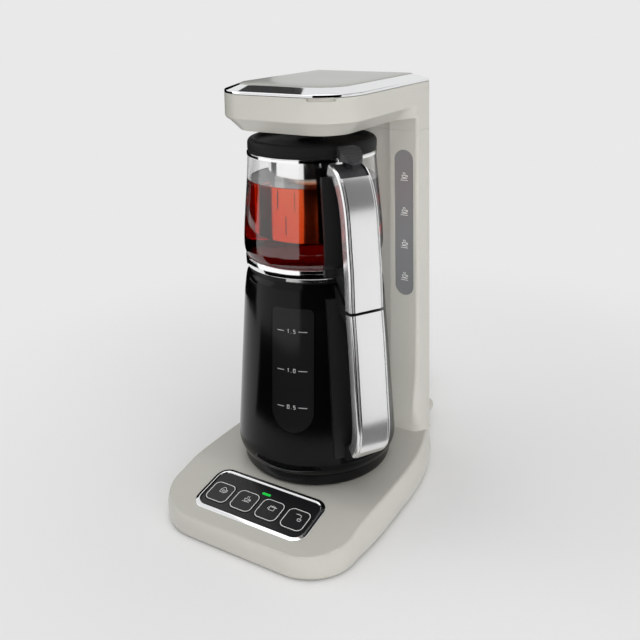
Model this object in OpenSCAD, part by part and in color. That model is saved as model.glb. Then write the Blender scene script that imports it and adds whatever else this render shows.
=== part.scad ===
// Electric tea maker: a black kettle with a glass teapot on its mouth stands on a wide base,
// in front of a water column whose head reaches over the teapot and pours into it.
// Millimetres, +Z up, front towards -Y. The origin is the middle of the base on the table.

/* [Base] */
// Width of the base at its widest
base_w = 214; // [206:1:224]
// Depth of the base from front to back
base_d = 275.8; // [271:0.2:287]
// Height of the base top under the kettle
base_h = 32; // [28:1:36]
// Radius of the two front corners in plan
base_corner_r = 50; // [42:1:56]
// Wall thickness of the base shell
base_wall = 2.6; // [2:0.1:3.4]
// How far the top edge stands in from the side
shoulder_in = 6.3; // [5:0.1:8]
// How far the foot of the side tucks in under it
tuck_in = 3; // [2:0.1:4]
// How much each side draws in towards the front corner
taper_in = 4.5; // [3:0.1:6]
// Height of the widest line round the base
widest_z = 13; // [10:0.5:15]
// Thickness of the bottom plate
cover_t = 2.2; // [1.6:0.1:3]
// Height that the rubber feet stand out below the shell
foot_h = 1.5; // [1:0.5:3]
// Diameter of a rubber foot
foot_d = 20; // [14:1:24]
// Distance of the kettle axis behind the middle of the base
axis_y = 11.4; // [9.4:0.1:13.4]

/* [Control panel] */
// Slope of the front of the base, degrees
slope = 9; // [7:0.5:10]
// Width of the chrome panel frame
panel_w = 124; // [122:0.5:127]
// Depth of the chrome panel frame
panel_d = 54; // [53:0.5:55]
// Outer corner radius of the panel frame
panel_r = 13.5; // [10.5:0.5:15.5]
// Width of the chrome rim
bezel_w = 5; // [4:0.1:5.2]
// Height of the rim above the base
bezel_h = 1.4; // [0.8:0.1:2]
// Side of a square key
key_s = 25; // [23:0.5:25]
// Corner radius of a key
key_r = 6.5; // [4:0.5:8]
// Web between two keys
key_web = 3.4; // [2.8:0.1:3.6]
// Travel of a key
key_travel = 0.8; // [0.5:0.1:1]
// Running gap round a key
key_gap = 0.4; // [0.3:0.05:0.5]
// Length of the indicator lens
led_l = 9.5; // [7:0.5:12]
// Width of the indicator lens
led_w = 2.6; // [2:0.1:3]

/* [Column] */
// Width of the water column and the head
col_w = 149.5; // [146:0.5:154]
// Depth of the column beside the recess
col_d = 36; // [33:1:38]
// Depth of the recess that follows the kettle
recess_in = 9.5; // [7:0.5:12]
// Radius of the rear corners
rear_r = 8; // [6:0.5:10]
// Radius of the front edges
edge_r = 4; // [3.2:0.1:6]
// Wall of the column and the head
col_wall = 2.8; // [2:0.1:3]
// Height of the plinth between the base top and the column seam
plinth_h = 6; // [4:0.5:8]
// How far the column foot flares to the side
flare_side = 10; // [7:0.5:12]
// How far the column foot flares to the front
flare_front = 13; // [9:0.5:14]
// Height of the side flare
flare_h = 27; // [20:1:40]
// Height over which the front face leans back
lean_h = 142; // [110:1:160]
// Length of the level window
gauge_l = 160; // [140:1:180]
// Distance of the window top below the column seam
gauge_drop = 21; // [16:1:26]
// Face left between the recess and the level window
gauge_inner = 4.7; // [4.4:0.1:7]
// Face left between the level window and the column side
gauge_outer = 5.7; // [5:0.1:8]
// Height of the head underside above the column seam
neck_h = 14; // [10:1:18]
// Wall of the water tank
tank_wall = 1.8; // [1.4:0.1:2.4]
// Clearance between tank and column
tank_gap = 0.8; // [0.5:0.1:1.2]

/* [Head] */
// Gap between the teapot lid and the head underside
head_gap = 10; // [9:0.5:14]
// Depth of the head from the column back to its front
head_d = 199.2; // [194:0.2:204]
// Radius of the front corners of the head
head_r = 45; // [38:1:52]
// Height of the slanting skirt
skirt_h = 13.8; // [10:0.2:16]
// How far the skirt slants in
skirt_in = 14; // [10:0.5:16]
// Height of the vertical band
band_h = 22.7; // [18:0.1:28]
// Thickness of the chrome flange
flange_t = 3; // [2.4:0.1:3.6]
// Width of the chrome bevel
bevel_w = 15; // [12:0.5:18]
// Rise of the chrome bevel
bevel_h = 5; // [4:0.2:6]
// Thickness of the top plate
plate_t = 3; // [2.4:0.1:4]
// Height of the finger notch under the flange
notch_h = 3; // [2:0.2:4]
// Diameter of the lid hinge pin
pin_d = 3; // [2.4:0.1:3.4]
// Length of the hinge barrel
barrel_l = 96; // [70:1:110]

/* [Kettle] */
// Height of the kettle without the teapot
kettle_h = 202.5; // [196:0.5:210]
// Largest radius of the kettle
kettle_r = 80.6; // [79:0.2:82]
// Radius of the kettle mouth
mouth_r = 66; // [65:0.2:67]
// Wall of the outer shell
kettle_wall = 3; // [2.4:0.1:3.4]
// Radius of the foot
kettle_foot_r = 72.5; // [71:0.5:74]
// Height of the base ring
ring_h = 11; // [9:0.5:12]
// Outer radius of the inner vessel
vessel_r = 65; // [63.6:0.2:65]
// Wall of the inner vessel
vessel_wall = 1.2; // [0.8:0.1:1.6]
// Height of the seat that carries the kettle
seat_h = 1; // [0.6:0.1:2]
// Radius of the connector on the seat
plug_r = 15; // [12:0.5:17]
// Height of the connector above the seat
plug_h = 4; // [3:0.2:4]
// Gap between connector and socket
plug_gap = 0.6; // [0.4:0.1:1]
// Angle of the middle of the kettle window from the front, degrees
view_az = 13.6; // [10:0.2:16]
// Half width of the kettle window
view_w = 21; // [17:0.5:22]
// Height of the window bottom above the seat
view_z = 55; // [48:1:62]
// Height of the window
view_h = 120; // [100:1:124]

/* [Teapot] */
// Height of the glass rim above the kettle mouth
pot_h = 112.5; // [108:0.5:118]
// Largest radius of the glass
pot_r = 70.2; // [69:0.1:71.4]
// Radius of the glass at the rim
rim_r = 64.8; // [64.2:0.1:66]
// Wall of the glass
glass_t = 2.2; // [1.8:0.1:2.6]
// Height of the steel foot ring
foot_ring_h = 9; // [7.5:0.1:10]
// Depth of the spigot that centres the pot in the kettle
nest_h = 2.2; // [1.6:0.1:2.4]
// Gap between spigot and kettle mouth
nest_gap = 0.8; // [0.5:0.1:1.2]
// Outer radius of the infuser
infuser_r = 44; // [38:0.5:48]
// Depth of the infuser
infuser_h = 84; // [60:1:88]
// Sheet of the infuser
sheet_t = 0.8; // [0.6:0.1:1.2]
// Number of slots round the infuser
slots = 16; // [8:1:20]
// Height of the lid above the glass rim
lid_h = 13; // [11:0.5:15]
// Depth of the dish in the lid
dish_h = 5; // [3:0.5:6]

/* [Handles] */
// Angle of both handles from the front, degrees
handle_az = 59; // [54:1:64]
// Half width of a handle
grip_w = 17.5; // [15.5:0.5:19]
// Thickness of a handle from front to finger gap
grip_t = 11; // [9.5:0.5:12]
// Thickness of the chrome cover
chrome_t = 2; // [1.6:0.1:2.4]
// Distance of the teapot handle's front from the axis, half way up
pot_reach = 101; // [98:0.5:103]
// Distance of the kettle handle's front from the axis, half way up
kettle_reach = 111; // [108:0.5:114]
// Gap between the two handles
handle_gap = 2.6; // [2:0.2:4]
// Half width of the teapot bracket
pot_plate_w = 24; // [20:0.5:26]
// Half width of the kettle bracket
kettle_plate_w = 23; // [20:0.5:26]
// Thickness of the brackets on the vessels
plate_in = 3.4; // [2.6:0.1:4]
// Half width of the thumb lever
lever_w = 11; // [9:0.5:12.5]
// Diameter of the lever pin
lever_pin_d = 3; // [2.4:0.1:3.4]
// Number of ribs on the thumb lever
lever_ribs = 5; // [3:1:6]

/* [Lead] */
// Diameter of the mains cord
cord_d = 7.5; // [6:0.1:8]
// Distance of the cord exit from the middle
exit_x = 58; // [50:1:58]
// Length of the strain relief
relief_l = 21; // [20:0.5:24]
// Outer radius of the coil
coil_r = 47.5; // [46:0.5:50]
// Turns of the coil
coil_turns = 3.2; // [2.2:0.1:3.8]
// Space between two loops
coil_gap = 0.9; // [0.6:0.1:1.2]
// Radius of the plug body
mains_r = 18.5; // [17:0.5:20]
// Thickness of the cable tie
tie_t = 1.25; // [1:0.05:1.6]

/* [Hidden] */

// Clearance between pieces of one body that are fitted together
fit = 0.2;
eps = 0.01;

// Heights of the stack, each on top of the one before
seat_z = base_h + seat_h;
mouth_z = seat_z + kettle_h;
rim_z = mouth_z + pot_h;
lid_z = rim_z + sheet_t;
lid_top = lid_z + lid_h;
head_z = lid_top + head_gap;
crease_z = head_z + skirt_h;
flange_z = crease_z + band_h;
bevel_z = flange_z + flange_t;
plate_z = bevel_z + bevel_h;
seam_z = head_z - neck_h;
plinth_z = base_h + plinth_h;

// Plan lines that the base, column and head share
front_y = -base_d / 2;
rear_y = base_d / 2;
col_y = rear_y - col_d;
head_y = rear_y - head_d;
recess_r = col_y - axis_y + recess_in;
duct_y = rear_y - col_d / 2 - 4;
wide_y = axis_y - 50;
join_y = rear_y - 13.5;
rear_split = rear_y - rear_r - 0.6;
break_y = axis_y - kettle_foot_r - 3.5;

// Warm light grey of the housing, and the other finishes
greige = [0.745, 0.741, 0.71];
gloss = [0.05, 0.05, 0.055];
chrome = [0.85, 0.86, 0.87];
steel = [0.78, 0.78, 0.78];
smoke = [0.28, 0.29, 0.3];

function clamp01(v) = min(1, max(0, v));
function smooth(v) = let (c = clamp01(v)) c * c * (3 - 2 * c);
function unit(v) = v / norm(v);
function last(v) = v[len(v) - 1];

// Catmull-Rom curve through a list of points, n steps between two of them
function cr(a, b, c, d, t) = 0.5 * ((2 * b) + (c - a) * t
    + (2 * a - 5 * b + 4 * c - d) * t * t + (3 * b - a - 3 * c + d) * t * t * t);
function spline(p, n) = let (m = len(p) - 1) [
    for (i = [0:m - 1])
        let (a = i == 0 ? 2 * p[0] - p[1] : p[i - 1],
             d = i == m - 1 ? 2 * p[m] - p[m - 1] : p[i + 2])
        for (k = [0:n - 1]) cr(a, p[i], p[i + 1], d, k / n),
    p[m]];

// Outward normals of a closed ring that runs counter-clockwise
function ring_normal(p, i) = let (n = len(p),
    t = unit(p[(i + 1) % n] - p[(i + n - 1) % n])) [t[1], -t[0]];

// Full ring from its right half, which runs from the front to the back
function mirrored(h) = concat(h, [for (i = [len(h) - 1:-1:0]) [-h[i][0], h[i][1]]]);
function full(h) = concat(h, [for (i = [len(h) - 1:-1:1]) [-h[i][0], h[i][1]]]);

function arc(cx, cy, r, a0, a1, n) = [
    for (k = [0:n]) let (a = a0 + (a1 - a0) * k / n) [cx + r * cos(a), cy + r * sin(a)]];

// Solid between rings of 3-D points. Its ends are closed in strips that join each point to
// its partner on the other side, or as one face where no partners are given
function sides(n, m) = [for (k = [0:m - 2]) for (i = [0:n - 1])
    each [[k * n + i, (k + 1) * n + i, (k + 1) * n + (i + 1) % n],
        [k * n + i, (k + 1) * n + (i + 1) % n, k * n + (i + 1) % n]]];
function strips(n, b) = [for (i = [0:n / 2 - 2])
    each [[b + i, b + i + 1, b + n - 2 - i], [b + i, b + n - 2 - i, b + n - 1 - i]]];
function turned(f) = [for (t = f) [t[2], t[1], t[0]]];
module loft(rings) {
    n = len(rings[0]);
    m = len(rings);
    polyhedron([for (r = rings) for (q = r) q],
        concat(strips(n, 0), sides(n, m), turned(strips(n, (m - 1) * n))));
}
module loft_plain(rings) {
    n = len(rings[0]);
    m = len(rings);
    polyhedron([for (r = rings) for (q = r) q],
        concat([[for (i = [0:n - 1]) i]], sides(n, m), [[for (i = [n - 1:-1:0]) (m - 1) * n + i]]));
}

// Closed band: the rings run round a profile and meet again
module band(rings) {
    n = len(rings[0]);
    m = len(rings);
    polyhedron([for (r = rings) for (q = r) q],
        [for (t = sides(n, m + 1)) [for (v = t) v % (n * m)]]);
}

// Base outline: straight front, round corners, sides that draw in to the column
function side_x(y) = base_w / 2
    - (base_w - col_w) / 2 * pow(clamp01((y - wide_y) / (join_y - wide_y)), 3.8)
    - taper_in * pow(clamp01((wide_y - y) / (wide_y - front_y - base_corner_r)), 2);
corner_x = side_x(front_y + base_corner_r);
side_ys = [for (k = [1:13]) front_y + base_corner_r
    + (join_y - front_y - base_corner_r) * k / 13];
function corner(x, y, r, d, n) = let (c = max(r, d + 0.8))
    arc(x - c, y - c, c - d, 0, 90, n);
function base_ring(d) = mirrored(concat(
    arc(corner_x - base_corner_r, front_y + base_corner_r, base_corner_r - d, -90, 0, 8),
    [for (y = side_ys) let (m = side_x(y + 0.5) - side_x(y - 0.5))
        [side_x(y) - d * sqrt(1 + m * m), y]],
    corner(col_w / 2, rear_y, rear_r, d, 4)));
function fade(y) = clamp01((join_y - y) / 35)
    * (0.35 + 0.65 * smooth(clamp01((y - front_y - base_corner_r / 2) / 60)));
function base_in(d, e = 0) = let (p = base_ring(e)) [for (i = [0:len(p) - 1])
    p[i] - ring_normal(p, i) * d * fade(p[i][1])];

// Height of the base top, flat under the kettle and sloping in front of it
function top_z(y) = base_h - max(0, break_y - y) * tan(slope);
function at_z(ring, z) = [for (q = ring) [q[0], q[1], z]];
function base_rings(w) = concat(w == 0
    ? [at_z(base_in(tuck_in, 1.5), foot_h),
       at_z(base_in(0.95 * tuck_in, 0.3), foot_h + 1),
       at_z(base_in(0.4 * tuck_in), (foot_h + widest_z) / 2)]
    : [at_z(base_ring(w + 4), foot_h),
       at_z(base_ring(w + 3.2), foot_h + 2),
       at_z(base_ring(w + 0.4 * tuck_in), widest_z - 2)],
    [for (a = [0:12:60]) let (s = (1 - cos(a)) / 0.5,
        ring = w == 0 ? base_in(shoulder_in * s) : base_ring(w + shoulder_in * s))
        [for (q = ring) [q[0], q[1],
            widest_z + (top_z(q[1]) - w - widest_z) * sin(a) / sin(60)]]]
);

// Column outline: flat front faces either side of a recess round the kettle
function col_ring(d) = let (r = recess_r + d, a = acos((col_y + d - axis_y) / r),
    e = max(edge_r, d + 0.5)) full(concat(
    [for (k = [0:8]) [r * sin(a * k / 8), axis_y + r * cos(a * k / 8)]],
    arc(col_w / 2 - e, col_y + e, e - d, -90, 0, 4),
    [for (k = [1:3]) [col_w / 2 - d, col_y + edge_r + (col_d - edge_r - rear_r) * k / 4]],
    corner(col_w / 2, rear_y, rear_r, d, 4)));
function side_out(z) = flare_side * pow(1 - clamp01((z - plinth_z) / flare_h), 2)
    + max(0, plinth_z - z) * 0.5;
function front_out(z) = flare_front * pow(1 - clamp01((z - plinth_z) / lean_h), 3.3)
    + max(0, plinth_z - z) * 0.6;
function col_at(z, d) = let (p = col_ring(d)) [for (i = [0:len(p) - 1])
    let (q = p[i],
         n = ring_normal(p, i),
         f = clamp01((rear_split - q[1]) / (rear_split - col_y)),
         s = n[0] * q[0] > 0 ? n[0] * side_out(z) * f : 0)
    [q[0] + s, q[1] + min(0, n[1]) * front_out(z), z]];
col_zs = concat([for (k = [0:6]) plinth_z + flare_h * k / 6],
    [for (k = [1:5]) plinth_z + flare_h + (lean_h - flare_h) * k / 5], [seam_z]);

// Head outline set in by d, and by s more where the skirt slants in ahead of the column
head_ys = concat([for (k = [1:4]) head_y + head_r + (col_y - 30 - head_y - head_r) * k / 4],
    [col_y - 20, col_y - 10, col_y]);
function head_ring(d, s) = mirrored(concat(
    arc(col_w / 2 - head_r, head_y + head_r, head_r - d - s, -90, 0, 10),
    [for (y = head_ys) [col_w / 2 - d - s * clamp01((col_y - y) / 30), y]],
    corner(col_w / 2, rear_y, rear_r, d, 4)));

// Rounded rectangle in plan
module rounded(w, d, r) {
    translate([-w / 2 + r, -d / 2]) square([w - 2 * r, d]);
    translate([-w / 2, -d / 2 + r]) square([w, d - 2 * r]);
    for (x = [-1, 1], y = [-1, 1])
        translate([x * (w / 2 - r), y * (d / 2 - r)]) circle(r = r, $fn = 48);
}

// Places what follows on the sloping panel, x to the right and y up the slope
panel_y = break_y - panel_d / 2 - 3;
module on_panel() {
    translate([0, panel_y, top_z(panel_y)]) rotate([slope, 0, 0]) children();
}
key_y = -3.8;
led_y = key_y + key_s / 2 + 3.4;
key_pitch = key_s + key_web;
fascia_top = 0.4;
key_top = 1;
board_z = -6.4;

// Places what follows on the kettle axis
module on_axis(z) {
    translate([0, axis_y, z]) children();
}

// Places what follows on the handles: x away from the axis, y across the handle
module on_handle() {
    translate([0, axis_y, 0]) rotate([0, 0, handle_az - 90]) children();
}
module side_profile(w) {
    rotate([90, 0, 0]) linear_extrude(2 * w, center = true) children();
}

// Outside of the kettle: radius and height above the seat
taper = (kettle_r - mouth_r - 5.1) / (kettle_h - 53.5);
kettle_line = concat(
    spline([[kettle_foot_r + 2.7, ring_h], [kettle_foot_r + 5.4, ring_h + 3],
        [kettle_r - 0.5, ring_h + 8], [kettle_r, ring_h + 13]], 4),
    [[kettle_r - taper * 40, ring_h + 53]],
    spline([[mouth_r + 5.1, kettle_h - 30.5], [mouth_r + 4.3, kettle_h - 23.5],
        [mouth_r + 3.3, kettle_h - 15.5], [mouth_r + 2.3, kettle_h - 10.5],
        [mouth_r, kettle_h - 6]], 3)
);
ring_line = [[kettle_foot_r, 0], [kettle_foot_r + 1.6, 1.2], [kettle_foot_r + 2.5, 4],
    [kettle_foot_r + 2.7, ring_h]];
body_top = seat_z + kettle_h - 6;

// Outside of the glass: radius and height above the kettle mouth
ring_r = pot_r - 1.4;
pot_line = spline([[ring_r - 2.2, 4.4], [ring_r - 1.2, foot_ring_h],
    [pot_r, foot_ring_h + 10], [pot_r - 0.7, foot_ring_h + 33],
    [pot_r - 3.4, pot_h - 39], [rim_r, pot_h - 9], [rim_r, pot_h]], 5);

function shift2(p, d) = [for (i = [0:len(p) - 1])
    let (t = unit(p[min(i + 1, len(p) - 1)] - p[max(i - 1, 0)])) p[i] + d * [-t[1], t[0]]];
function back(p) = [for (i = [len(p) - 1:-1:0]) p[i]];

// Centre lines of the handle fronts: distance from the axis, height
pot_low = mouth_z - 21;
pot_top = rim_z - 2.5;
pot_front = spline([[pot_reach - 35, pot_top], [pot_reach - 23, pot_top - 4],
    [pot_reach - 14, pot_top - 13.5], [pot_reach - 7, pot_top - 29.5],
    [pot_reach - 3, pot_top - 47.5], [pot_reach, pot_top - 75.5],
    [pot_reach + 2.3, pot_top - 98], [pot_reach + 3.8, pot_low]], 3);
kettle_high = pot_low - handle_gap;
kettle_low = seat_z + 43;
bow = (kettle_high - kettle_low) / 135.9;
kettle_front = spline([[kettle_reach - 6, kettle_high], [kettle_reach - 2, kettle_high - 33 * bow],
    [kettle_reach + 2, kettle_high - 79 * bow], [kettle_reach + 4, kettle_low + 33 * bow],
    [kettle_reach + 3, kettle_low + 19], [kettle_reach, kettle_low + 8],
    [kettle_reach - 6, kettle_low]], 4);

// Chrome cover of a handle: a U section swept down the front line
module chrome_cover(line) {
    w = grip_w;
    t = chrome_t;
    sec = [[-w, grip_t], [-w, 3.2], [-w + 0.8, 1.2], [-w + 3, 0], [w - 3, 0], [w - 0.8, 1.2],
        [w, 3.2], [w, grip_t], [w - t, grip_t], [w - t, t + 1.8], [w - t - 0.3, t + 0.7],
        [w - t - 1.5, t], [-w + t + 1.5, t], [-w + t + 0.3, t + 0.7], [-w + t, t + 1.8],
        [-w + t, grip_t]];
    loft([for (i = [len(line) - 1:-1:0])
        let (u = unit(line[min(i + 1, len(line) - 1)] - line[max(i - 1, 0)]), n = [-u[1], u[0]])
        [for (s = sec) [line[i][0] - n[0] * s[1], s[0], line[i][1] - n[1] * s[1]]]]);
}

// Filling of a chrome cover, with its edges cut back to clear the cover's inner corners
module cover_filling(line) {
    t = chrome_t + fit;
    side_profile(grip_w - t - 1.8)
        polygon(concat(shift2(line, -t), back(shift2(line, -grip_t))));
    side_profile(grip_w - t)
        polygon(concat(shift2(line, -t - 1.9), back(shift2(line, -grip_t))));
}

// Everything in front of the inside of a chrome cover
module cover_front(line) {
    polygon(concat(shift2(line, -chrome_t - fit), [[300, last(line)[1]], [300, line[0][1]]]));
}

// Tube swept along a list of points
function tube_ring(p, i, r, n) = let (
    t = unit(p[min(i + 1, len(p) - 1)] - p[max(i - 1, 0)]),
    s = unit(cross([0, 0, 1], t)), u = cross(t, s))
    [for (k = [0:n - 1]) p[i] + r * (cos(360 * k / n) * s + sin(360 * k / n) * u)];
module tube(p, r, n) {
    loft([for (i = [0:len(p) - 1]) tube_ring(p, i, r, n)]);
}

// Cord: out of the base, round to a coil behind the column, then to the plug
exit_z = 18;
cord_r = cord_d / 2;
low_z = cord_r + tie_t;
coil_x = -33;
coil_y = rear_y + 93.5;
start_x = coil_x + coil_r;
run_pts = [[exit_x, rear_y + relief_l, exit_z], [exit_x, rear_y + 28.5, exit_z],
    [56, rear_y + 39, 17], [51, rear_y + 48, 15], [43, rear_y + 54.5, 12.5],
    [36, rear_y + 57.5, 11], [27.5, rear_y + 61.5, 8.7], [20, rear_y + 69, 6.7],
    [start_x + 1, rear_y + 78.5, low_z + 0.3], [start_x, coil_y - cord_d, low_z]];
pitch = cord_d + coil_gap;
turn_back = coil_turns / 2;
function coil_pt(t) = let (r = coil_r - pitch * (t < turn_back ? t : coil_turns - t))
    [coil_x + r * cos(360 * t), coil_y + r * sin(360 * t),
     low_z + pitch * smooth((t - turn_back + 0.25) / 0.5)];
coil_n = ceil(24 * coil_turns);
end_a = 360 * coil_turns;
end_dir = [-sin(end_a), cos(end_a), 0];
coil_end = coil_pt(coil_turns) + cord_d * end_dir;
coil_pts = concat([[start_x, coil_y - cord_d, low_z]],
    [for (k = [0:coil_n]) coil_pt(coil_turns * k / coil_n)], [coil_end]);
self_gap = min([for (i = [0:len(coil_pts) - 1]) for (j = [i + 12:1:len(coil_pts) - 1])
    norm(coil_pts[i] - coil_pts[j])]) - cord_d;
echo(least_gap_between_loops = self_gap);
tail_l = 52;
tail_pts = [for (k = [0:8]) let (s = k / 8) coil_end + s * tail_l * end_dir
    + [0, 0, (mains_r - coil_end[2]) * smooth(s)]];

module base_shell() color(greige) {
    difference() {
        union() {
            loft(base_rings(0));
            loft_plain([col_at(base_h - 1, 0), col_at(base_h + plinth_h / 2, 0), col_at(plinth_z, 0)]);
        }
        loft(base_rings(base_wall));
        linear_extrude(foot_h + 1) polygon(base_ring(base_wall + 4));
        // Opening for the control panel
        on_panel() translate([0, 0, -20])
            linear_extrude(40) rounded(panel_w - bezel_w, panel_d - bezel_w, panel_r - bezel_w / 2);
        // Bore for the connector
        on_axis(base_h - 12) cylinder(r = plug_r + 3, h = 20, $fn = 64);
        // Duct up into the column
        translate([0, duct_y, base_h - 12])
            linear_extrude(plinth_h + 20) square([0.6 * col_w, 10], center = true);
    }
}

module base_cover() color(gloss) {
    difference() {
        translate([0, 0, foot_h + 1 - cover_t + 1.4])
            linear_extrude(cover_t) polygon(base_ring(base_wall + 4.6));
        // Vent slots under the electronics
        for (i = [-4:4])
            translate([i * 8 - 1.5, -60, 0]) cube([3, 40, 20]);
    }
}

foot_top = foot_h + 1 - cover_t + 1.4;
module feet() color([0.12, 0.12, 0.12]) {
    for (x = [-1, 1]) {
        translate([x * 0.352 * base_w, front_y + 1.6 * foot_d, 0]) foot();
        translate([x * 0.26 * base_w, rear_y - 1.3 * foot_d, 0]) foot();
    }
}
module foot() {
    rotate_extrude($fn = 40) polygon([[0, 0], [foot_d / 2 - 1, 0], [foot_d / 2, 1],
        [foot_d / 2, foot_top], [0, foot_top]]);
}

module kettle_seat() color(smoke) {
    on_axis(base_h) rotate_extrude($fn = 96) polygon([
        [plug_r + 1, 0], [kettle_foot_r - 7, 0], [kettle_foot_r - 7, seat_h - 0.3],
        [kettle_foot_r - 7.3, seat_h], [plug_r + 1, seat_h]]);
}

module seat_connector() color(gloss) {
    on_axis(base_h - 9) difference() {
        rotate_extrude($fn = 64) polygon([
            [0, 0], [plug_r + 2.6, 0], [plug_r + 2.6, 9], [plug_r + 0.6, 9], [plug_r + 0.6, 9 + seat_h],
            [plug_r, 9 + seat_h], [plug_r, 8 + seat_h + plug_h], [plug_r - 1, 9 + seat_h + plug_h],
            [0, 9 + seat_h + plug_h]]);
        // Contact ring and the hole for the centre pin
        translate([0, 0, 5 + seat_h + plug_h]) difference() {
            cylinder(r = 9, h = 10, $fn = 48);
            translate([0, 0, -1]) cylinder(r = 6.5, h = 12, $fn = 48);
        }
        translate([0, 0, 5 + seat_h + plug_h]) cylinder(r = 2.5, h = 10, $fn = 32);
    }
}

module panel_bezel() color(chrome) {
    on_panel() difference() {
        union() {
            translate([0, 0, -3]) linear_extrude(3 + eps)
                rounded(panel_w - bezel_w - 2 * fit, panel_d - bezel_w - 2 * fit,
                    panel_r - bezel_w / 2 - fit);
            linear_extrude(bezel_h - 0.5) rounded(panel_w, panel_d, panel_r);
            translate([0, 0, bezel_h - 0.5]) linear_extrude(0.5)
                rounded(panel_w - 1, panel_d - 1, panel_r - 0.5);
        }
        translate([0, 0, -10]) linear_extrude(30)
            rounded(panel_w - 2 * bezel_w, panel_d - 2 * bezel_w, panel_r - bezel_w);
    }
}

module panel_fascia() color(gloss) {
    on_panel() {
        difference() {
            translate([0, 0, -3]) linear_extrude(3 + fascia_top)
                rounded(panel_w - 2 * bezel_w - 2 * fit, panel_d - 2 * bezel_w - 2 * fit,
                    panel_r - bezel_w - fit);
            for (i = [-1.5:1:1.5])
                translate([i * key_pitch, key_y, -5]) linear_extrude(20)
                    rounded(key_s + 2 * key_gap, key_s + 2 * key_gap, key_r + key_gap);
            translate([0, led_y, -5]) linear_extrude(20) rounded(led_l, led_w, led_w / 2 - eps);
        }
        // Posts that carry the board
        for (x = [-1, 1])
            translate([x * (panel_w / 2 - bezel_w - 5), panel_d / 2 - bezel_w - 5, board_z])
                cylinder(r = 2.4, h = -board_z - 2, $fn = 24);
        for (i = [-1:1])
            translate([i * key_pitch, led_y + 0.5, board_z]) if (i != 0)
                cylinder(r = 1.6, h = -board_z - 2, $fn = 24);
    }
}

module led_lens() color([0.1, 0.75, 0.3]) {
    on_panel() translate([0, led_y, board_z])
        linear_extrude(fascia_top + 0.2 - board_z) rounded(led_l, led_w, led_w / 2 - eps);
}

module control_board() color([0.1, 0.35, 0.2]) {
    on_panel() translate([0, 0, board_z - 1.6])
        linear_extrude(1.6) rounded(panel_w - 2 * bezel_w - 4, panel_d - 2 * bezel_w - 2, 3);
}

// A key: a cap with a shallow dish and a stem over its switch
module key(i) color(gloss) {
    on_panel() translate([(i - 2.5) * key_pitch, key_y, 0]) {
        translate([0, 0, -3]) linear_extrude(3 + key_top - 0.5) rounded(key_s, key_s, key_r);
        translate([0, 0, key_top - 0.5]) linear_extrude(0.5)
            rounded(key_s - 1, key_s - 1, key_r - 0.5);
        translate([0, 0, board_z + key_travel + 0.3])
            cylinder(r = 3, h = -board_z - key_travel - 3.2, $fn = 32);
    }
}
module key_1() key(1);
module key_2() key(2);
module key_3() key(3);
module key_4() key(4);

recess_edge = sqrt(recess_r * recess_r - (col_y - axis_y) * (col_y - axis_y));
gauge_w = col_w / 2 - gauge_outer - recess_edge - gauge_inner;
gauge_x = col_w / 2 - gauge_outer - gauge_w / 2;
gauge_mid = seam_z - gauge_drop - gauge_l / 2;
module capsule(w, l) {
    square([w, l - w], center = true);
    for (y = [-1, 1]) translate([0, y * (l - w) / 2]) circle(d = w, $fn = 48);
}

module column_shell() color(greige) {
    difference() {
        loft_plain([for (z = col_zs) col_at(z, 0)]);
        loft_plain(concat([at_z(col_at(plinth_z, col_wall), plinth_z - 1)],
            [for (z = col_zs) at_z(col_at(z, col_wall), z)],
            [at_z(col_at(seam_z, col_wall), seam_z + 1)]));
        translate([gauge_x, col_y + col_wall + 1, gauge_mid]) rotate([90, 0, 0])
            linear_extrude(flare_front + 10) capsule(gauge_w, gauge_l);
        // The rear is closed by a cover of its own
        translate([-col_w, rear_split, 0]) cube([2 * col_w, 50, seam_z + 10]);
    }
}

module rear_cover() color(greige) {
    w = 2 * col_w;
    difference() {
        translate([0, 0, plinth_z]) linear_extrude(seam_z - plinth_z) intersection() {
            difference() {
                polygon(col_ring(0));
                polygon(col_ring(col_wall));
            }
            translate([-w / 2, rear_split]) square([w, 50]);
        }
        // Air slots low down
        for (i = [-3:3])
            translate([i * 9 - 2, rear_y - col_wall - 1, plinth_z + 14]) cube([4, 20, 16]);
    }
}

module level_window() color(smoke) {
    translate([gauge_x, col_y + col_wall + tank_gap, gauge_mid]) rotate([90, 0, 0]) {
        linear_extrude(col_wall + tank_gap - 0.6) capsule(gauge_w - fit, gauge_l - fit);
        linear_extrude(tank_gap - 0.1) capsule(gauge_w + 4, gauge_l + 4);
    }
}

tank_z = plinth_z + flare_h + 8;
module water_tank() color([0.8, 0.85, 0.9]) {
    o = col_wall + tank_gap;
    difference() {
        translate([0, 0, tank_z]) linear_extrude(head_z + col_wall - tank_z)
            polygon(col_ring(o));
        translate([0, 0, tank_z + tank_wall]) linear_extrude(head_z)
            polygon(col_ring(o + tank_wall));
    }
    // Outlet under the tank floor
    translate([0, duct_y, plinth_z - 2]) cylinder(r = 4, h = tank_z - plinth_z + 2.5, $fn = 32);
}

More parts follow.
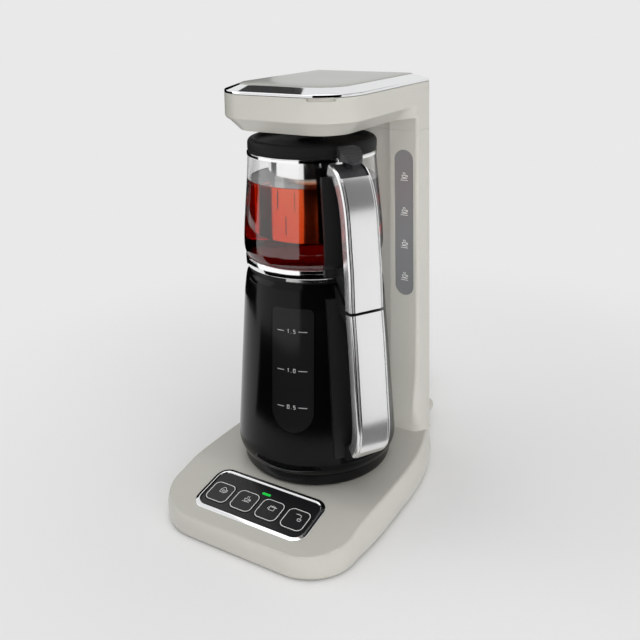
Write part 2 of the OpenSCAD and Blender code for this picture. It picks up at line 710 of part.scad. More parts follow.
hinge_y = rear_y - 4;
hinge_z = flange_z + flange_t / 2;
barrel_r = pin_d / 2 + 1.6;
module head_shell() color(greige) {
    w = col_wall + 1;
    difference() {
        union() {
            loft([at_z(head_ring(0, skirt_in), head_z),
                at_z(head_ring(0, skirt_in * 0.35), head_z + skirt_h * 0.7),
                at_z(head_ring(0, 0.6), crease_z - 0.8),
                at_z(head_ring(0, 0), crease_z), at_z(head_ring(0, 0), flange_z)]);
            translate([0, 0, seam_z]) linear_extrude(neck_h + 1) polygon(col_ring(0));
            // Rail behind the lid
            intersection() {
                translate([0, 0, crease_z]) linear_extrude(hinge_z - 0.3 - crease_z)
                    polygon(head_ring(0, 0));
                translate([-col_w, hinge_y + 0.3, crease_z]) cube([2 * col_w, 20, 60]);
            }
        }
        loft([at_z(head_ring(w, skirt_in), head_z + col_wall),
            at_z(head_ring(w, 0), crease_z), at_z(head_ring(w, 0), flange_z + 9)]);
        translate([0, 0, seam_z - 1]) linear_extrude(neck_h + col_wall + 3)
            polygon(col_ring(col_wall));
        // Bore for the spout
        on_axis(head_z - 1) cylinder(r = 9, h = 20, $fn = 48);
        // Finger notch under the front right corner of the flange
        intersection() {
            translate([0, 0, flange_z - notch_h]) difference() {
                linear_extrude(notch_h + 1) polygon(head_ring(-1, 0));
                translate([0, 0, -1]) linear_extrude(notch_h + 3) polygon(head_ring(2.4, 0));
            }
            translate([col_w / 2 - head_r, head_y + head_r, flange_z - 10]) rotate([0, 0, -78])
                cube([head_r * 2, head_r * 0.9, 20]);
        }
        // Bore that carries on behind the lugs
        translate([-barrel_l / 2 - 6, hinge_y, hinge_z]) rotate([0, 90, 0])
            cylinder(d = pin_d, h = barrel_l + 12, $fn = 32);
        // Groove that the hinge barrel turns in
        translate([-barrel_l / 2 - 0.5, hinge_y, hinge_z]) rotate([0, 90, 0])
            cylinder(r = barrel_r + 0.5, h = barrel_l + 1, $fn = 48);
        translate([-barrel_l / 2 - 0.5, hinge_y, hinge_z - barrel_r - 0.5])
            cube([barrel_l + 1, 20, 20]);
    }
    // Lugs that hold the hinge pin
    for (x = [-1, 1]) hinge_lug(x);
}
module hinge_lug(x) {
    translate([x * (barrel_l / 2 + 3.5) - 3, 0, 0]) difference() {
        union() {
            translate([0, hinge_y - barrel_r, flange_z - 8]) cube([6, barrel_r + 4, 8 + flange_t / 2]);
            translate([0, hinge_y, hinge_z]) rotate([0, 90, 0]) cylinder(r = barrel_r, h = 6, $fn = 48);
        }
        translate([-1, hinge_y, hinge_z]) rotate([0, 90, 0]) cylinder(d = pin_d, h = 8, $fn = 32);
    }
}

module lid_pin() color(steel) {
    translate([-barrel_l / 2 - 6, hinge_y, hinge_z]) rotate([0, 90, 0])
        cylinder(d = pin_d, h = barrel_l + 12, $fn = 32);
}

module spout() color(gloss) {
    on_axis(head_z) difference() {
        union() {
            translate([0, 0, 0.2]) cylinder(r = 9, h = 7, $fn = 48);
            translate([0, 0, col_wall]) cylinder(r = 13, h = 3, $fn = 48);
        }
        translate([0, 0, -1]) cylinder(r = 4, h = 20, $fn = 32);
    }
}

// Chrome frame of the filling lid: flange, bevel and the barrel at the rear
module top_frame() color(chrome) {
    f = flange_z + 0.3;
    difference() {
        union() {
            difference() {
                band([for (q = [[0.4, f], [0, f + 0.4], [0, bevel_z - 0.5], [0.6, bevel_z],
                        [bevel_w, plate_z], [bevel_w, plate_z - 2.2],
                        [7, bevel_z - 0.6], [6.4, f]]) at_z(head_ring(q[0], 0), q[1])]);
                translate([-col_w, hinge_y, flange_z - 5]) cube([2 * col_w, 30, 30]);
            }
            translate([-barrel_l / 2, hinge_y, hinge_z]) rotate([0, 90, 0])
                cylinder(r = barrel_r, h = barrel_l, $fn = 48);
            translate([-barrel_l / 2, hinge_y - 8, f])
                cube([barrel_l, 8, flange_t - 0.5]);
        }
        // Room for the lugs
        for (x = [-1, 1])
            translate([x * (barrel_l / 2 + 3.5) - 3.5, hinge_y - barrel_r - 0.6, flange_z - 5])
                cube([7, 30, 30]);
        translate([-barrel_l / 2 - 1, hinge_y, hinge_z]) rotate([0, 90, 0])
            cylinder(d = pin_d + 0.3, h = barrel_l + 2, $fn = 32);
    }
}

module lid_plate() color(greige) {
    loft([for (q = [[fit, -plate_t], [fit, 0], [1.2, 0.9], [8, 1.6], [16, 2.1]])
        at_z(head_ring(bevel_w + q[0], 0), plate_z + q[1])]);
}

module lid_seal() color([0.2, 0.2, 0.2]) {
    translate([0, 0, flange_z - 2.6]) linear_extrude(plate_z - plate_t - flange_z + 2.6)
        difference() {
            polygon(head_ring(bevel_w + 0.6, 0));
            polygon(head_ring(bevel_w + 3.4, 0));
        }
}

kettle_in = [for (q = kettle_line) [q[0] - kettle_wall, q[1]]];
module kettle_solid(extra) {
    rotate_extrude($fn = 120) polygon(concat([[0, 0]],
        [for (q = concat(ring_line, kettle_line)) [q[0] + extra, q[1]]],
        [[mouth_r, kettle_h], [0, kettle_h]]));
}

module window_cut(w, l) {
    on_axis(0) rotate([0, 0, view_az - 90]) translate([0, 0, seat_z + view_z])
        rotate([90, 0, 90]) linear_extrude(120) {
            translate([0, w]) circle(r = w, $fn = 64);
            translate([-w, w]) square([2 * w, l - w - 5]);
            translate([-w + 5, w]) square([2 * w - 10, l - w]);
            for (x = [-1, 1]) translate([x * (w - 5), l - 5]) circle(r = 5, $fn = 32);
        }
}

module kettle_body() color(gloss) {
    difference() {
        on_axis(seat_z) rotate_extrude($fn = 120) polygon(concat(
            kettle_line, [[vessel_r + fit, kettle_h - 6], [vessel_r + fit, kettle_h - 9]],
            back([for (q = kettle_in) if (q[1] < kettle_h - 9.5) q])));
        window_cut(view_w, view_h);
    }
}

module kettle_window() color(smoke) {
    intersection() {
        on_axis(seat_z) rotate_extrude($fn = 120) polygon(concat(
            [for (q = kettle_line) if (q[1] < kettle_h - 12) [q[0] - 0.4, q[1]]],
            back([for (q = kettle_in) if (q[1] < kettle_h - 12) q])));
        translate([0, 0, fit]) window_cut(view_w - fit, view_h - 2 * fit);
    }
}

floor_z = ring_h + 9;
socket_r = 1.6 * plug_r;
module kettle_base_ring() color(gloss) {
    r = kettle_foot_r;
    on_axis(seat_z) rotate_extrude($fn = 120) polygon(concat(ring_line,
        [[r + 2.7 - kettle_wall, ring_h], [r - 1.5, 6], [r - 6, 4.5], [socket_r + fit, 4.5],
            [socket_r + fit, 2.4],
            [r - 8, 2.4], [r - 4, 0]]));
}

module kettle_vessel() color(steel) {
    v = vessel_r;
    on_axis(seat_z) rotate_extrude($fn = 120) polygon([
        [v, floor_z], [v, kettle_h - 3.6], [mouth_r, kettle_h - 3.6], [mouth_r, kettle_h - 0.4],
        [mouth_r - 0.4, kettle_h], [v - vessel_wall, kettle_h], [v - vessel_wall, floor_z]]);
}

module kettle_collar() color(gloss) {
    on_axis(seat_z + kettle_h - 6) difference() {
        cylinder(r = mouth_r - 0.4, h = 2.4, $fn = 120);
        translate([0, 0, -1]) cylinder(r = vessel_r, h = 5, $fn = 120);
    }
}

module heating_plate() color(steel) {
    on_axis(seat_z + floor_z) difference() {
        union() {
            translate([0, 0, -3]) cylinder(r = vessel_r, h = 3, $fn = 96);
            cylinder(r = vessel_r - vessel_wall, h = 2, $fn = 96);
            translate([0, 0, -9]) rotate_extrude($fn = 64) translate([0.615 * vessel_r, 3]) circle(r = 4, $fn = 24);
        }
        translate([0, 0, -20]) cylinder(r = 3, h = 12, $fn = 24);
    }
}

module kettle_socket() color(smoke) {
    on_axis(seat_z) difference() {
        union() {
            translate([0, 0, 0.6]) cylinder(r = socket_r, h = floor_z - 3.6, $fn = 64);
            translate([0, 0, 4.5]) cylinder(r = socket_r + 4, h = 2, $fn = 64);
        }
        translate([0, 0, -1]) cylinder(r = plug_r + plug_gap, h = plug_h + 1.5, $fn = 64);
    }
}

module kettle_handle_core() color(gloss) {
    difference() {
        on_handle() {
            // Bracket on the kettle
            intersection() {
                translate([0, 0, seat_z]) kettle_solid(plate_in);
                translate([0, -kettle_plate_w, seat_z + 32])
                    cube([kettle_reach, 2 * kettle_plate_w, kettle_h - 50]);
            }
            // Upper and lower arms
            side_profile(grip_w - chrome_t - 1.8) difference() {
                union() {
                    polygon([[mouth_r, kettle_high + 17], [mouth_r + 5, kettle_high + 14.5],
                        [kettle_reach - 23, kettle_high], [kettle_reach - 8, kettle_high],
                        [kettle_reach - 7, kettle_high - 32 * bow], [kettle_reach - 15, kettle_high - 22],
                        [kettle_reach - 22, kettle_high - 13], [mouth_r + 4, kettle_high - 2]]);
                    polygon([[mouth_r, kettle_low - 14], [kettle_r + 6, kettle_low - 12.5],
                        [kettle_reach - 12, kettle_low - 4], [kettle_reach - 8.8, kettle_low + 1.2],
                        [kettle_reach, kettle_low + 8], [kettle_reach - 6, kettle_low + 26],
                        [kettle_reach - 11, kettle_low + 15], [kettle_r + 2, kettle_low - 1],
                        [mouth_r, kettle_low - 1]]);
                }
                cover_front(kettle_front);
            }
            cover_filling(kettle_front);
        }
        on_axis(seat_z) kettle_solid(0);
    }
}

module kettle_handle_shell() color(chrome) {
    on_handle() chrome_cover(kettle_front);
}

module pot_solid(extra) {
    rotate_extrude($fn = 120) polygon(concat([[0, 2]], [[ring_r + extra, 2]],
        [[ring_r + extra, foot_ring_h]],
        [for (q = pot_line) if (q[1] > foot_ring_h) [q[0] + extra, q[1]]], [[0, pot_h]]));
}

lever_x = rim_r + 4.4;
lever_z = rim_z + 3.4;
module pot_handle_core() color(gloss) {
    difference() {
        on_handle() {
            // Bracket on the glass
            intersection() {
                translate([0, 0, mouth_z]) pot_solid(plate_in);
                translate([0, -pot_plate_w, mouth_z + 3])
                    cube([pot_reach, 2 * pot_plate_w, pot_h - 18]);
            }
            // Upper and lower arms
            side_profile(grip_w - chrome_t - 1.8) difference() {
                union() {
                    polygon([[rim_r - 4, pot_top - 1], [pot_reach - 35, pot_top - 2.4],
                        [pot_reach - 23, pot_top - 6.4], [pot_reach - 12, pot_top - 14],
                        [pot_reach - 12, pot_top - 40], [pot_reach - 16, pot_top - 30],
                        [pot_reach - 22, pot_top - 22], [rim_r - 4, pot_top - 20]]);
                    polygon([[rim_r - 4, pot_low + 33], [pot_r + 3, pot_low + 33],
                        [pot_reach - 7, pot_low + 20], [pot_reach + 3, pot_low + 10],
                        [pot_reach + 3, pot_low], [pot_reach - 8, pot_low],
                        [pot_r - 2, pot_low + 23], [rim_r - 4, pot_low + 23.4]]);
                }
                cover_front(pot_front);
            }
            cover_filling(pot_front);
            // Ear that the thumb lever turns on
            side_profile(3) polygon([[lever_x - 3, pot_top - 6], [lever_x - 3, lever_z],
                [lever_x, lever_z + 3], [lever_x + 3, lever_z], [lever_x + 6, pot_top - 6]]);
        }
        on_axis(mouth_z) pot_solid(0);
        on_handle() translate([lever_x, 0, lever_z]) rotate([90, 0, 0])
            cylinder(d = lever_pin_d, h = 30, center = true, $fn = 32);
    }
}

module pot_handle_shell() color(chrome) {
    on_handle() difference() {
        chrome_cover(pot_front);
        // The front stops below the thumb lever and only the side trims run on
        translate([0, -grip_w + 2.4, pot_top - 11]) cube([pot_reach, 2 * grip_w - 4.8, 40]);
    }
}

module pot_glass() color([0.8, 0.85, 0.86, 0.5]) {
    on_axis(mouth_z) rotate_extrude($fn = 120) polygon(concat(
        [[0, 4.4]], pot_line, [for (q = back(pot_line)) if (q[1] > 7) [q[0] - glass_t, q[1]]],
        [[0, 6.8]]));
}

module pot_foot_ring() color(steel) {
    r = ring_r;
    s = vessel_r - vessel_wall - nest_gap;
    on_axis(mouth_z) rotate_extrude($fn = 120) polygon([
        [s - 3, -nest_h], [s - 0.4, -nest_h], [s, -nest_h + 0.4], [s, 0], [r - 0.8, 0], [r, 0.8],
        [r, foot_ring_h - 0.4], [r - 0.4, foot_ring_h], [r - 1, foot_ring_h],
        [r - 1.6, 4.4], [s - 3, 4.4]]);
}

module pot_rim() color(steel) {
    on_axis(rim_z - 2.4) difference() {
        cylinder(r = rim_r + 0.6, h = 2.4, $fn = 120);
        translate([0, 0, -1]) cylinder(r = rim_r, h = 5, $fn = 120);
    }
}

module infuser() color(steel) {
    r = infuser_r;
    t = sheet_t;
    difference() {
        on_axis(rim_z) rotate_extrude($fn = 96) polygon([
            [r - t, t], [r - t, t - infuser_h], [0, t - infuser_h], [0, -infuser_h],
            [r - 1, -infuser_h], [r, 1 - infuser_h], [r, -3], [rim_r - 4.4, -3],
            [rim_r - 3.8, 0], [rim_r - 0.4, 0], [rim_r - 0.4, t], [rim_r - 4.6, t],
            [rim_r - 5.2, t - 3], [r, t - 3], [r, t]]);
        // Slots in two rows round the basket
        for (i = [0:slots - 1], j = [0, 1])
            on_axis(rim_z - infuser_h + 8 + 24 * j) rotate([0, 0, 360 * (i + j / 2) / slots])
                translate([r - 4, -1, 0]) cube([8, 2, 18]);
    }
}

module pot_lid() color(gloss) {
    r = rim_r;
    on_axis(lid_z) rotate_extrude($fn = 120) polygon([
        [8, -2.6], [8, lid_h - dish_h - 3], [14, lid_h - dish_h - 3], [15, lid_h - dish_h + 0.6],
        [20, lid_h - dish_h], [r - 12, lid_h - dish_h], [r - 9.5, lid_h - dish_h + 1.2],
        [r - 7, lid_h - 0.8], [r - 4.6, lid_h], [r - 2.2, lid_h - 0.9], [r - 0.6, lid_h - 2.8],
        [r - 0.1, lid_h - 5], [r - 0.1, 2.6], [r - 0.9, 1.8], [r - 0.9, 0], [r - 6, 0],
        [r - 6.4, -2.6], [r - 9, -2.6], [r - 9, 2], [12, 2], [12, -2.6]]);
}

module lever_pin() color(steel) {
    on_handle() translate([lever_x, 0, lever_z]) rotate([90, 0, 0])
        cylinder(d = lever_pin_d, h = 2 * lever_w - 2, center = true, $fn = 32);
}

// Thumb piece: a sloping ribbed pad that rides astride the ear
module thumb_lever() color(smoke) {
    t = lid_top;
    x0 = rim_r + 1.2;
    slope_a = atan2(10, 15);
    on_handle() difference() {
        intersection() {
            union() {
                side_profile(lever_w) polygon([[x0, lever_z - 1.6], [x0, t - 3], [x0 + 1.4, t - 1],
                    [x0 + 4, t - 0.6], [x0 + 9, t - 3], [x0 + 19, t - 9.6], [x0 + 22, t - 13.4],
                    [x0 + 21.4, t - 15.4], [x0 + 16, lever_z - 2.4]]);
                for (k = [0:lever_ribs - 1])
                    translate([x0 + 8 + 2.6 * k, 0, t - 2.7 - 1.73 * k])
                        rotate([90, 0, 0]) cylinder(r = 0.9, h = 2 * lever_w, center = true, $fn = 16);
            }
            translate([0, 0, lever_z - 10]) linear_extrude(40) {
                translate([x0 + 11, 0]) circle(r = lever_w, $fn = 64);
                translate([x0, -lever_w + 2.5]) square([11, 2 * lever_w - 5]);
            }
        }
        translate([lever_x - 6, -3.5, lever_z - 10]) cube([16, 7, 14]);
        translate([lever_x, 0, lever_z]) rotate([90, 0, 0])
            cylinder(d = lever_pin_d + 0.2, h = 40, center = true, $fn = 32);
    }
}

module strain_relief() color(greige) {
    l = relief_l;
    translate([exit_x, rear_y, exit_z]) rotate([-90, 0, 0]) rotate_extrude($fn = 40)
        polygon(concat([[0, 0], [8, 0], [8, 2], [7, 3]],
            [for (k = [0:3]) each [[6.6 - 0.45 * k, 4 + 4 * k], [6.5 - 0.45 * k, 6 + 4 * k],
                [5.4 - 0.3 * k, 6.3 + 4 * k], [5.4 - 0.3 * k, 7.7 + 4 * k]]],
            [[cord_r + 0.8, l], [0, l]]));
}

module cord_run() color(greige) {
    tube(spline(run_pts, 2), cord_r, 10);
}

module cord_coil() color(greige) {
    tube(coil_pts, cord_r, 6);
}

module cord_tail() color(greige) {
    tube(tail_pts, cord_r, 10);
}

// Tie round the four loops, where they lie in two layers
module cord_tie() color([0.1, 0.1, 0.1]) {
    a = 0.1;
    r1 = coil_r - pitch * a;
    r0 = coil_r - pitch * (1 + a);
    in = cord_r + 0.3;
    translate([coil_x, coil_y, 0]) rotate([0, 0, 360 * a]) difference() {
        translate([r0 - in - tie_t, -3, 0])
            cube([r1 - r0 + 2 * in + 2 * tie_t, 6, low_z + pitch + cord_r + tie_t]);
        translate([r0 - in, -4, tie_t]) cube([r1 - r0 + 2 * in, 8, low_z + pitch + cord_r - tie_t]);
    }
}

// Round two-pin plug on its side, with a tapered neck
module plug() color(greige) {
    p = last(tail_pts);
    r = mains_r;
    translate(p) rotate([0, 0, end_a + 90]) rotate([0, 90, 0]) {
        rotate_extrude($fn = 48) polygon([[0, 0], [cord_r + 0.8, 0], [7, 20], [9, 24],
            [r - 2, 27], [r, 30], [r, 54], [r - 1, 56], [0, 56]]);
        for (y = [-9.5, 9.5]) translate([0, y, 55]) cylinder(d = 4.8, h = 19, $fn = 24);
    }
}

base_shell();
base_cover();
feet();
kettle_seat();
seat_connector();
panel_bezel();
panel_fascia();
led_lens();
control_board();
key_1();
key_2();
key_3();
key_4();
column_shell();
rear_cover();
level_window();
water_tank();
head_shell();
spout();
lid_pin();
top_frame();
lid_plate();
lid_seal();
kettle_body();
kettle_window();
kettle_base_ring();
kettle_vessel();
heating_plate();
kettle_socket();
kettle_collar();
kettle_handle_core();
kettle_handle_shell();
pot_glass();
pot_foot_ring();
pot_rim();
pot_handle_core();
pot_handle_shell();
pot_lid();
infuser();
lever_pin();
thumb_lever();
strain_relief();
cord_run();
cord_coil();
cord_tail();
cord_tie();
plug();
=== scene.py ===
# Electric tea maker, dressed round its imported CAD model. Sizes in the sections are in
# millimetres in the frame of the model and are turned to metres where a mesh is made.
from math import acos, cos, hypot, radians, sin, sqrt, tan, tau

import bmesh
import bpy
from mathutils import Matrix, Vector


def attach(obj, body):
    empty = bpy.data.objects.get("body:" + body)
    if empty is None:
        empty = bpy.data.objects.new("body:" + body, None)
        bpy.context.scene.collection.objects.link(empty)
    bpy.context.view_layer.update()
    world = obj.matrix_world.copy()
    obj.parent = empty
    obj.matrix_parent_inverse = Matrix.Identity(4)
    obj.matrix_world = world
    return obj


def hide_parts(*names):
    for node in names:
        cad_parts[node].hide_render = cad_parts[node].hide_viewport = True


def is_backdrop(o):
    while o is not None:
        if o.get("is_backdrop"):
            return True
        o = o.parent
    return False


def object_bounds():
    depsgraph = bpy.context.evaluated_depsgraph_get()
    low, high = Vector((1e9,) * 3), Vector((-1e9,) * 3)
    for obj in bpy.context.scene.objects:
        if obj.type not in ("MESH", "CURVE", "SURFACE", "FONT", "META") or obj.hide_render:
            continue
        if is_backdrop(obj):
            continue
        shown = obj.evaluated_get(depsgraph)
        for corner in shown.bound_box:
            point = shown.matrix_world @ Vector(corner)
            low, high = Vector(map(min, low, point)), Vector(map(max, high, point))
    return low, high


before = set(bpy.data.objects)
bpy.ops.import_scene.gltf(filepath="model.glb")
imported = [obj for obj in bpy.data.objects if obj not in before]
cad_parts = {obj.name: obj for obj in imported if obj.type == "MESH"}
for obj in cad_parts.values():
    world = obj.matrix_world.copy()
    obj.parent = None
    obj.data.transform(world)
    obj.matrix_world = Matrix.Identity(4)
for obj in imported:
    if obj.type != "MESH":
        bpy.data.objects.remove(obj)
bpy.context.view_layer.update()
scene = bpy.context.scene
scene.view_settings.view_transform = "Standard"

# ---------------- Camera
# The picture was taken with its verticals held nearly upright, looking down from the
# front right. The film plane is tilted against the line of sight, as on a view camera,
# by a stand whose axes lean. No lens shift is used.
HEADING, DIP, ROLL = map(radians, (31.1, 7.2, -1.0))
FILM_TILT = 0.2631
FOCAL_SHARE = 808 / 640
level = Vector((-sin(HEADING), cos(HEADING), 0))
across = Vector((cos(HEADING), sin(HEADING), 0))
plumb = Vector((0, 0, 1))
ahead = level * cos(DIP) - plumb * sin(DIP)
above = plumb * cos(DIP) + level * sin(DIP)
film_x = across * cos(ROLL) + above * sin(ROLL)
film_y = above * cos(ROLL) - across * sin(ROLL)
sight = ahead - film_y * FILM_TILT
camera = bpy.data.objects.new("camera", bpy.data.cameras.new("camera"))
scene.collection.objects.link(camera)
camera.data.sensor_width = 36
camera.data.lens = 36 * FOCAL_SHARE * sight.length
camera.data.clip_start, camera.data.clip_end = 0.01, 60
stand = bpy.data.objects.new("camera_stand", None)
scene.collection.objects.link(stand)
camera.parent = stand
place = Vector((0.4191, -0.6667, 0.4903))
axes = ((*film_x, 0), (*film_y, 0), (*-sight.normalized(), 0), (*place, 1))
camera.matrix_parent_inverse = Matrix(axes).transposed()
scene.camera = camera


# ---------------- Mains lead
# A round 7.5 mm PVC cord in the housing's colour leaves through a ribbed relief, and is
# wound into a coil behind the machine, held by a black tie. A moulded round plug with
# two nickel pins is on its end.
def clamped(v):
    return min(1, max(0, v))


def eased(v):
    v = clamped(v)
    return v * v * (3 - 2 * v)


def flowing(points, steps):
    """Catmull-Rom curve through the points, with so many steps between two of them."""
    points = [Vector(p) for p in points]
    made = []
    for i in range(len(points) - 1):
        b, c = points[i], points[i + 1]
        a = points[i - 1] if i else 2 * b - c
        d = points[i + 2] if i + 2 < len(points) else 2 * c - b
        for k in range(steps):
            t = k / steps
            made.append(0.5 * (2 * b + (c - a) * t + (2 * a - 5 * b + 4 * c - d) * t * t
                               + (3 * b - a - 3 * c + d) * t ** 3))
    return made + [points[-1]]


def colour(r, g, b):
    """A colour written as the eye reads it, turned to the linear one that a shader takes."""
    return tuple(((v / 255 + 0.055) / 1.055) ** 2.4 if v > 10 else v / 255 / 12.92
                 for v in (r, g, b)) + (1.0,)


def node(tree, kind, *feeds, **values):
    """A shader node: what its first inputs take, in order, and settings and inputs by name.
    A socket among them is wired in, and anything else is set as the value."""
    made = tree.nodes.new("ShaderNode" + kind)
    feeds = list(zip(made.inputs, feeds))
    for title, value in values.items():
        if hasattr(made, title):
            setattr(made, title, value)
        else:
            feeds.append((made.inputs[title.replace("_", " ")], value))
    for socket, value in feeds:
        if isinstance(value, bpy.types.NodeSocket):
            tree.links.new(value, socket)
        else:
            socket.default_value = value
    return made


def effect(name, drift, gloss, gloss_drift, pattern, noises):
    """A node group in which one noise varies the tone and the gloss, and one the relief."""
    tree = bpy.data.node_groups.new(name, "ShaderNodeTree")
    for title, kind, value in (("Colour", "Color", (0.5, 0.5, 0.5, 1)), ("Drift", "Float", drift),
                               ("Gloss", "Float", gloss), ("Gloss drift", "Float", gloss_drift),
                               pattern, ("Depth", "Float", 0.00002)):
        socket = tree.interface.new_socket(title, in_out="INPUT", socket_type="NodeSocket" + kind)
        socket.default_value = value
    for title, kind in (("Colour", "Color"), ("Roughness", "Float"), ("Normal", "Vector")):
        tree.interface.new_socket(title, in_out="OUTPUT", socket_type="NodeSocket" + kind)
    given = tree.nodes.new("NodeGroupInput").outputs
    broad, fine = noises(tree, node(tree, "TexCoord").outputs["Object"], given)
    centred = node(tree, "Math", broad, 0.5, operation="SUBTRACT").outputs[0]
    tone = node(tree, "Math", centred, given["Drift"], 1.0, operation="MULTIPLY_ADD").outputs[0]
    tinted = node(tree, "VectorMath", given["Colour"], operation="SCALE", Scale=tone)
    dulled = node(tree, "Math", centred, given["Gloss drift"], given["Gloss"], operation="MULTIPLY_ADD")
    relief = node(tree, "Bump", Strength=1, Height=fine, Distance=given["Depth"])
    for last, socket in zip((tinted, dulled, relief), tree.nodes.new("NodeGroupOutput").inputs):
        tree.links.new(last.outputs[0], socket)
    return tree


def moulded(tree, place, given):
    """A slow drift, and the orange peel of moulded plastic, so many grains to the metre."""
    slow = node(tree, "TexNoise", Vector=place, Scale=14, Detail=2)
    peel = node(tree, "TexNoise", Vector=place, Scale=given["Peel"], Detail=1)
    return slow.outputs["Fac"], peel.outputs["Fac"]


def drawn(tree, place, given):
    """The fine lines of drawn or brushed metal, which run one way."""
    stretched = node(tree, "VectorMath", place, given["Lines"], operation="MULTIPLY")
    lines = node(tree, "TexNoise", Vector=stretched.outputs[0], Scale=1, Detail=3)
    return lines.outputs["Fac"], lines.outputs["Fac"]


skin = effect("moulded skin", 0.03, 0.3, 0.05, ("Peel", "Float", 700), moulded)
grain = effect("drawn lines", 0.05, 0.2, 0.15, ("Lines", "Vector", (20, 20, 1500)), drawn)


def finish(name, group, **values):
    """A material: a Principled shader, fed by one of the effects above if it is given one.
    Each value goes to the effect's socket of that title, or else to the shader's."""
    made = bpy.data.materials.new(name)
    made.use_nodes = True
    tree = made.node_tree
    look = tree.nodes["Principled BSDF"]
    own = {}
    if group:
        part = node(tree, "Group", node_tree=group)
        own = part.inputs
        values["Colour"] = colour(*values["Colour"])
        for made_by, title in zip(part.outputs, ("Base Color", "Roughness", "Normal")):
            tree.links.new(made_by, look.inputs[title])
    for title, value in values.items():
        title = title.replace("_", " ")
        (own if title in own else look.inputs)[title].default_value = value
    made.diffuse_color = values.get("Colour") or values["Base_Color"]
    return made


def dress(name, material):
    """Gives a CAD node its finish."""
    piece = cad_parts[name]
    piece.data.materials.clear()
    piece.data.materials.append(material)


def fixed(piece, body, slot=None, *stands_for):
    """Says which body a piece rides on, and hides the CAD nodes that it stands for. The slot is not used.
    """
    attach(piece, body)
    if stands_for:
        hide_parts(*stands_for)
    return piece


def shaded(mesh, sharp=32):
    """Smooth, but for edges that are sharper than the angle."""
    mesh.polygons.foreach_set("use_smooth", [True] * len(mesh.polygons))
    mesh.set_sharp_from_angle(angle=radians(sharp))


def made_piece(name, points, faces, material, body=None, slot=None, sharp=32, stands_for=()):
    """A new piece from points in millimetres."""
    mesh = bpy.data.meshes.new(name)
    mesh.from_pydata([Vector(p) * 0.001 for p in points], [], faces)
    mesh.materials.append(material)
    form = bmesh.new()
    form.from_mesh(mesh)
    bmesh.ops.remove_doubles(form, verts=form.verts, dist=1e-7)
    bmesh.ops.recalc_face_normals(form, faces=form.faces)
    form.to_mesh(mesh)
    form.free()
    shaded(mesh, sharp)
    piece = bpy.data.objects.new(name, mesh)
    scene.collection.objects.link(piece)
    return fixed(piece, body, slot, *stands_for) if body else piece


def copied(name, source, material, body, slot):
    """A welded copy of a CAD node's mesh, so that it can take more than one finish."""
    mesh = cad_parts[source].data
    points, faces = [v.co * 1000 for v in mesh.vertices], [list(p.vertices) for p in mesh.polygons]
    return made_piece(name, points, faces, material, body, slot, stands_for=(source,))


cord_pvc = finish("cord_pvc", skin, Colour=(196, 194, 184), Gloss=0.42, Peel=900, IOR=1.46)
plug_pvc = finish("plug_pvc", skin, Colour=(190, 188, 178), Gloss=0.38, IOR=1.46)
nickel = finish("nickel", grain, Colour=(214, 212, 206), Gloss=0.22, Lines=(900, 900, 900),
                Metallic=1)
tie_nylon = finish("tie_nylon", skin, Colour=(24, 24, 26), Gloss=0.45, IOR=1.46)

CORD_D, CORD_R = 7.5, 3.75
BACK = 137.9
EXIT = (58, BACK + 21, 18)
LOW_Z = 5.0
COIL_X, COIL_Y, COIL_R, PITCH, TURNS, CLIMB = -33, BACK + 93.5, 47.5, 8.4, 3.2, 0.5
COIL_STEPS, TAIL_STEPS = 154, 16
START_X = COIL_X + COIL_R
run = flowing([EXIT, (58, BACK + 28.5, 18), (56, BACK + 39, 17), (51, BACK + 48, 15),
               (43, BACK + 54.5, 12.5), (36, BACK + 57.5, 11), (27.5, BACK + 61.5, 8.7),
               (20, BACK + 69, 6.7), (START_X + 1, BACK + 78.5, LOW_Z + 0.3),
               (START_X, COIL_Y - CORD_D, LOW_Z)], 6)


def on_coil(t):
    """Where the coil is after t turns: drawing in, climbing by one cord, and coming out."""
    r = COIL_R - PITCH * min(t, TURNS - t)
    return Vector((COIL_X + r * cos(tau * t), COIL_Y + r * sin(tau * t),
                   LOW_Z + PITCH * eased((t - TURNS / 2 + CLIMB / 2) / CLIMB)))


END_A = tau * TURNS
TAIL_L, PLUG_L, PLUG_R = 52, 56.2, 18.5
away = Vector((-sin(END_A), cos(END_A), 0))
coil_end = on_coil(TURNS) + CORD_D * away
wound = [on_coil(TURNS * k / COIL_STEPS) for k in range(COIL_STEPS + 1)]
tail = [coil_end + away * TAIL_L * k / TAIL_STEPS + Vector((
    0, 0, (PLUG_R - coil_end.z) * eased(k / TAIL_STEPS))) for k in range(TAIL_STEPS + 1)]
route = [p * 0.001 for p in run + wound + tail]
cord_line = bpy.data.curves.new("lead", "CURVE")
cord_line.dimensions = "3D"
cord_line.bevel_depth = CORD_R * 0.001
cord_line.bevel_resolution = 5
cord_line.use_fill_caps = True
thread = cord_line.splines.new("POLY")
thread.points.add(len(route) - 1)
for held, p in zip(thread.points, route):
    held.co = (*p, 1)
cord_line.materials.append(cord_pvc)
lead = bpy.data.objects.new("lead", cord_line)
scene.collection.objects.link(lead)
fixed(lead, "base", "cord", "cord_run", "cord_coil", "cord_tail")
dress("strain_relief", cord_pvc)
dress("cord_tie", tie_nylon)
mains_plug = copied("mains_plug", "plug", plug_pvc, "base", "cord")
mains_plug.data.materials.append(nickel)
pin_start = (tail[-1] + away * PLUG_L) * 0.001
for face in mains_plug.data.polygons:
    if (face.center - pin_start).dot(away) > 0:
        face.material_index = 1

# ---------------- Table and studio
# A pale seamless table that runs into the backdrop, lit by soft boxes. Black, grey and white
# cards stand round it, as a photographer sets them: polished metal and gloss black mirror
# them and some show through the glass pot, but the camera and matt faces do not see them.
PAPER = colour(233, 233, 233)
CLOTH = colour(243, 243, 243)
CLOTH_MID, CLOTH_R, PAPER_R, TABLE_R = (0.05, 0.05, 0), 0.25, 0.75, 30
CARD_LIFT, ROOM_LIGHT = 0.002, 0.6


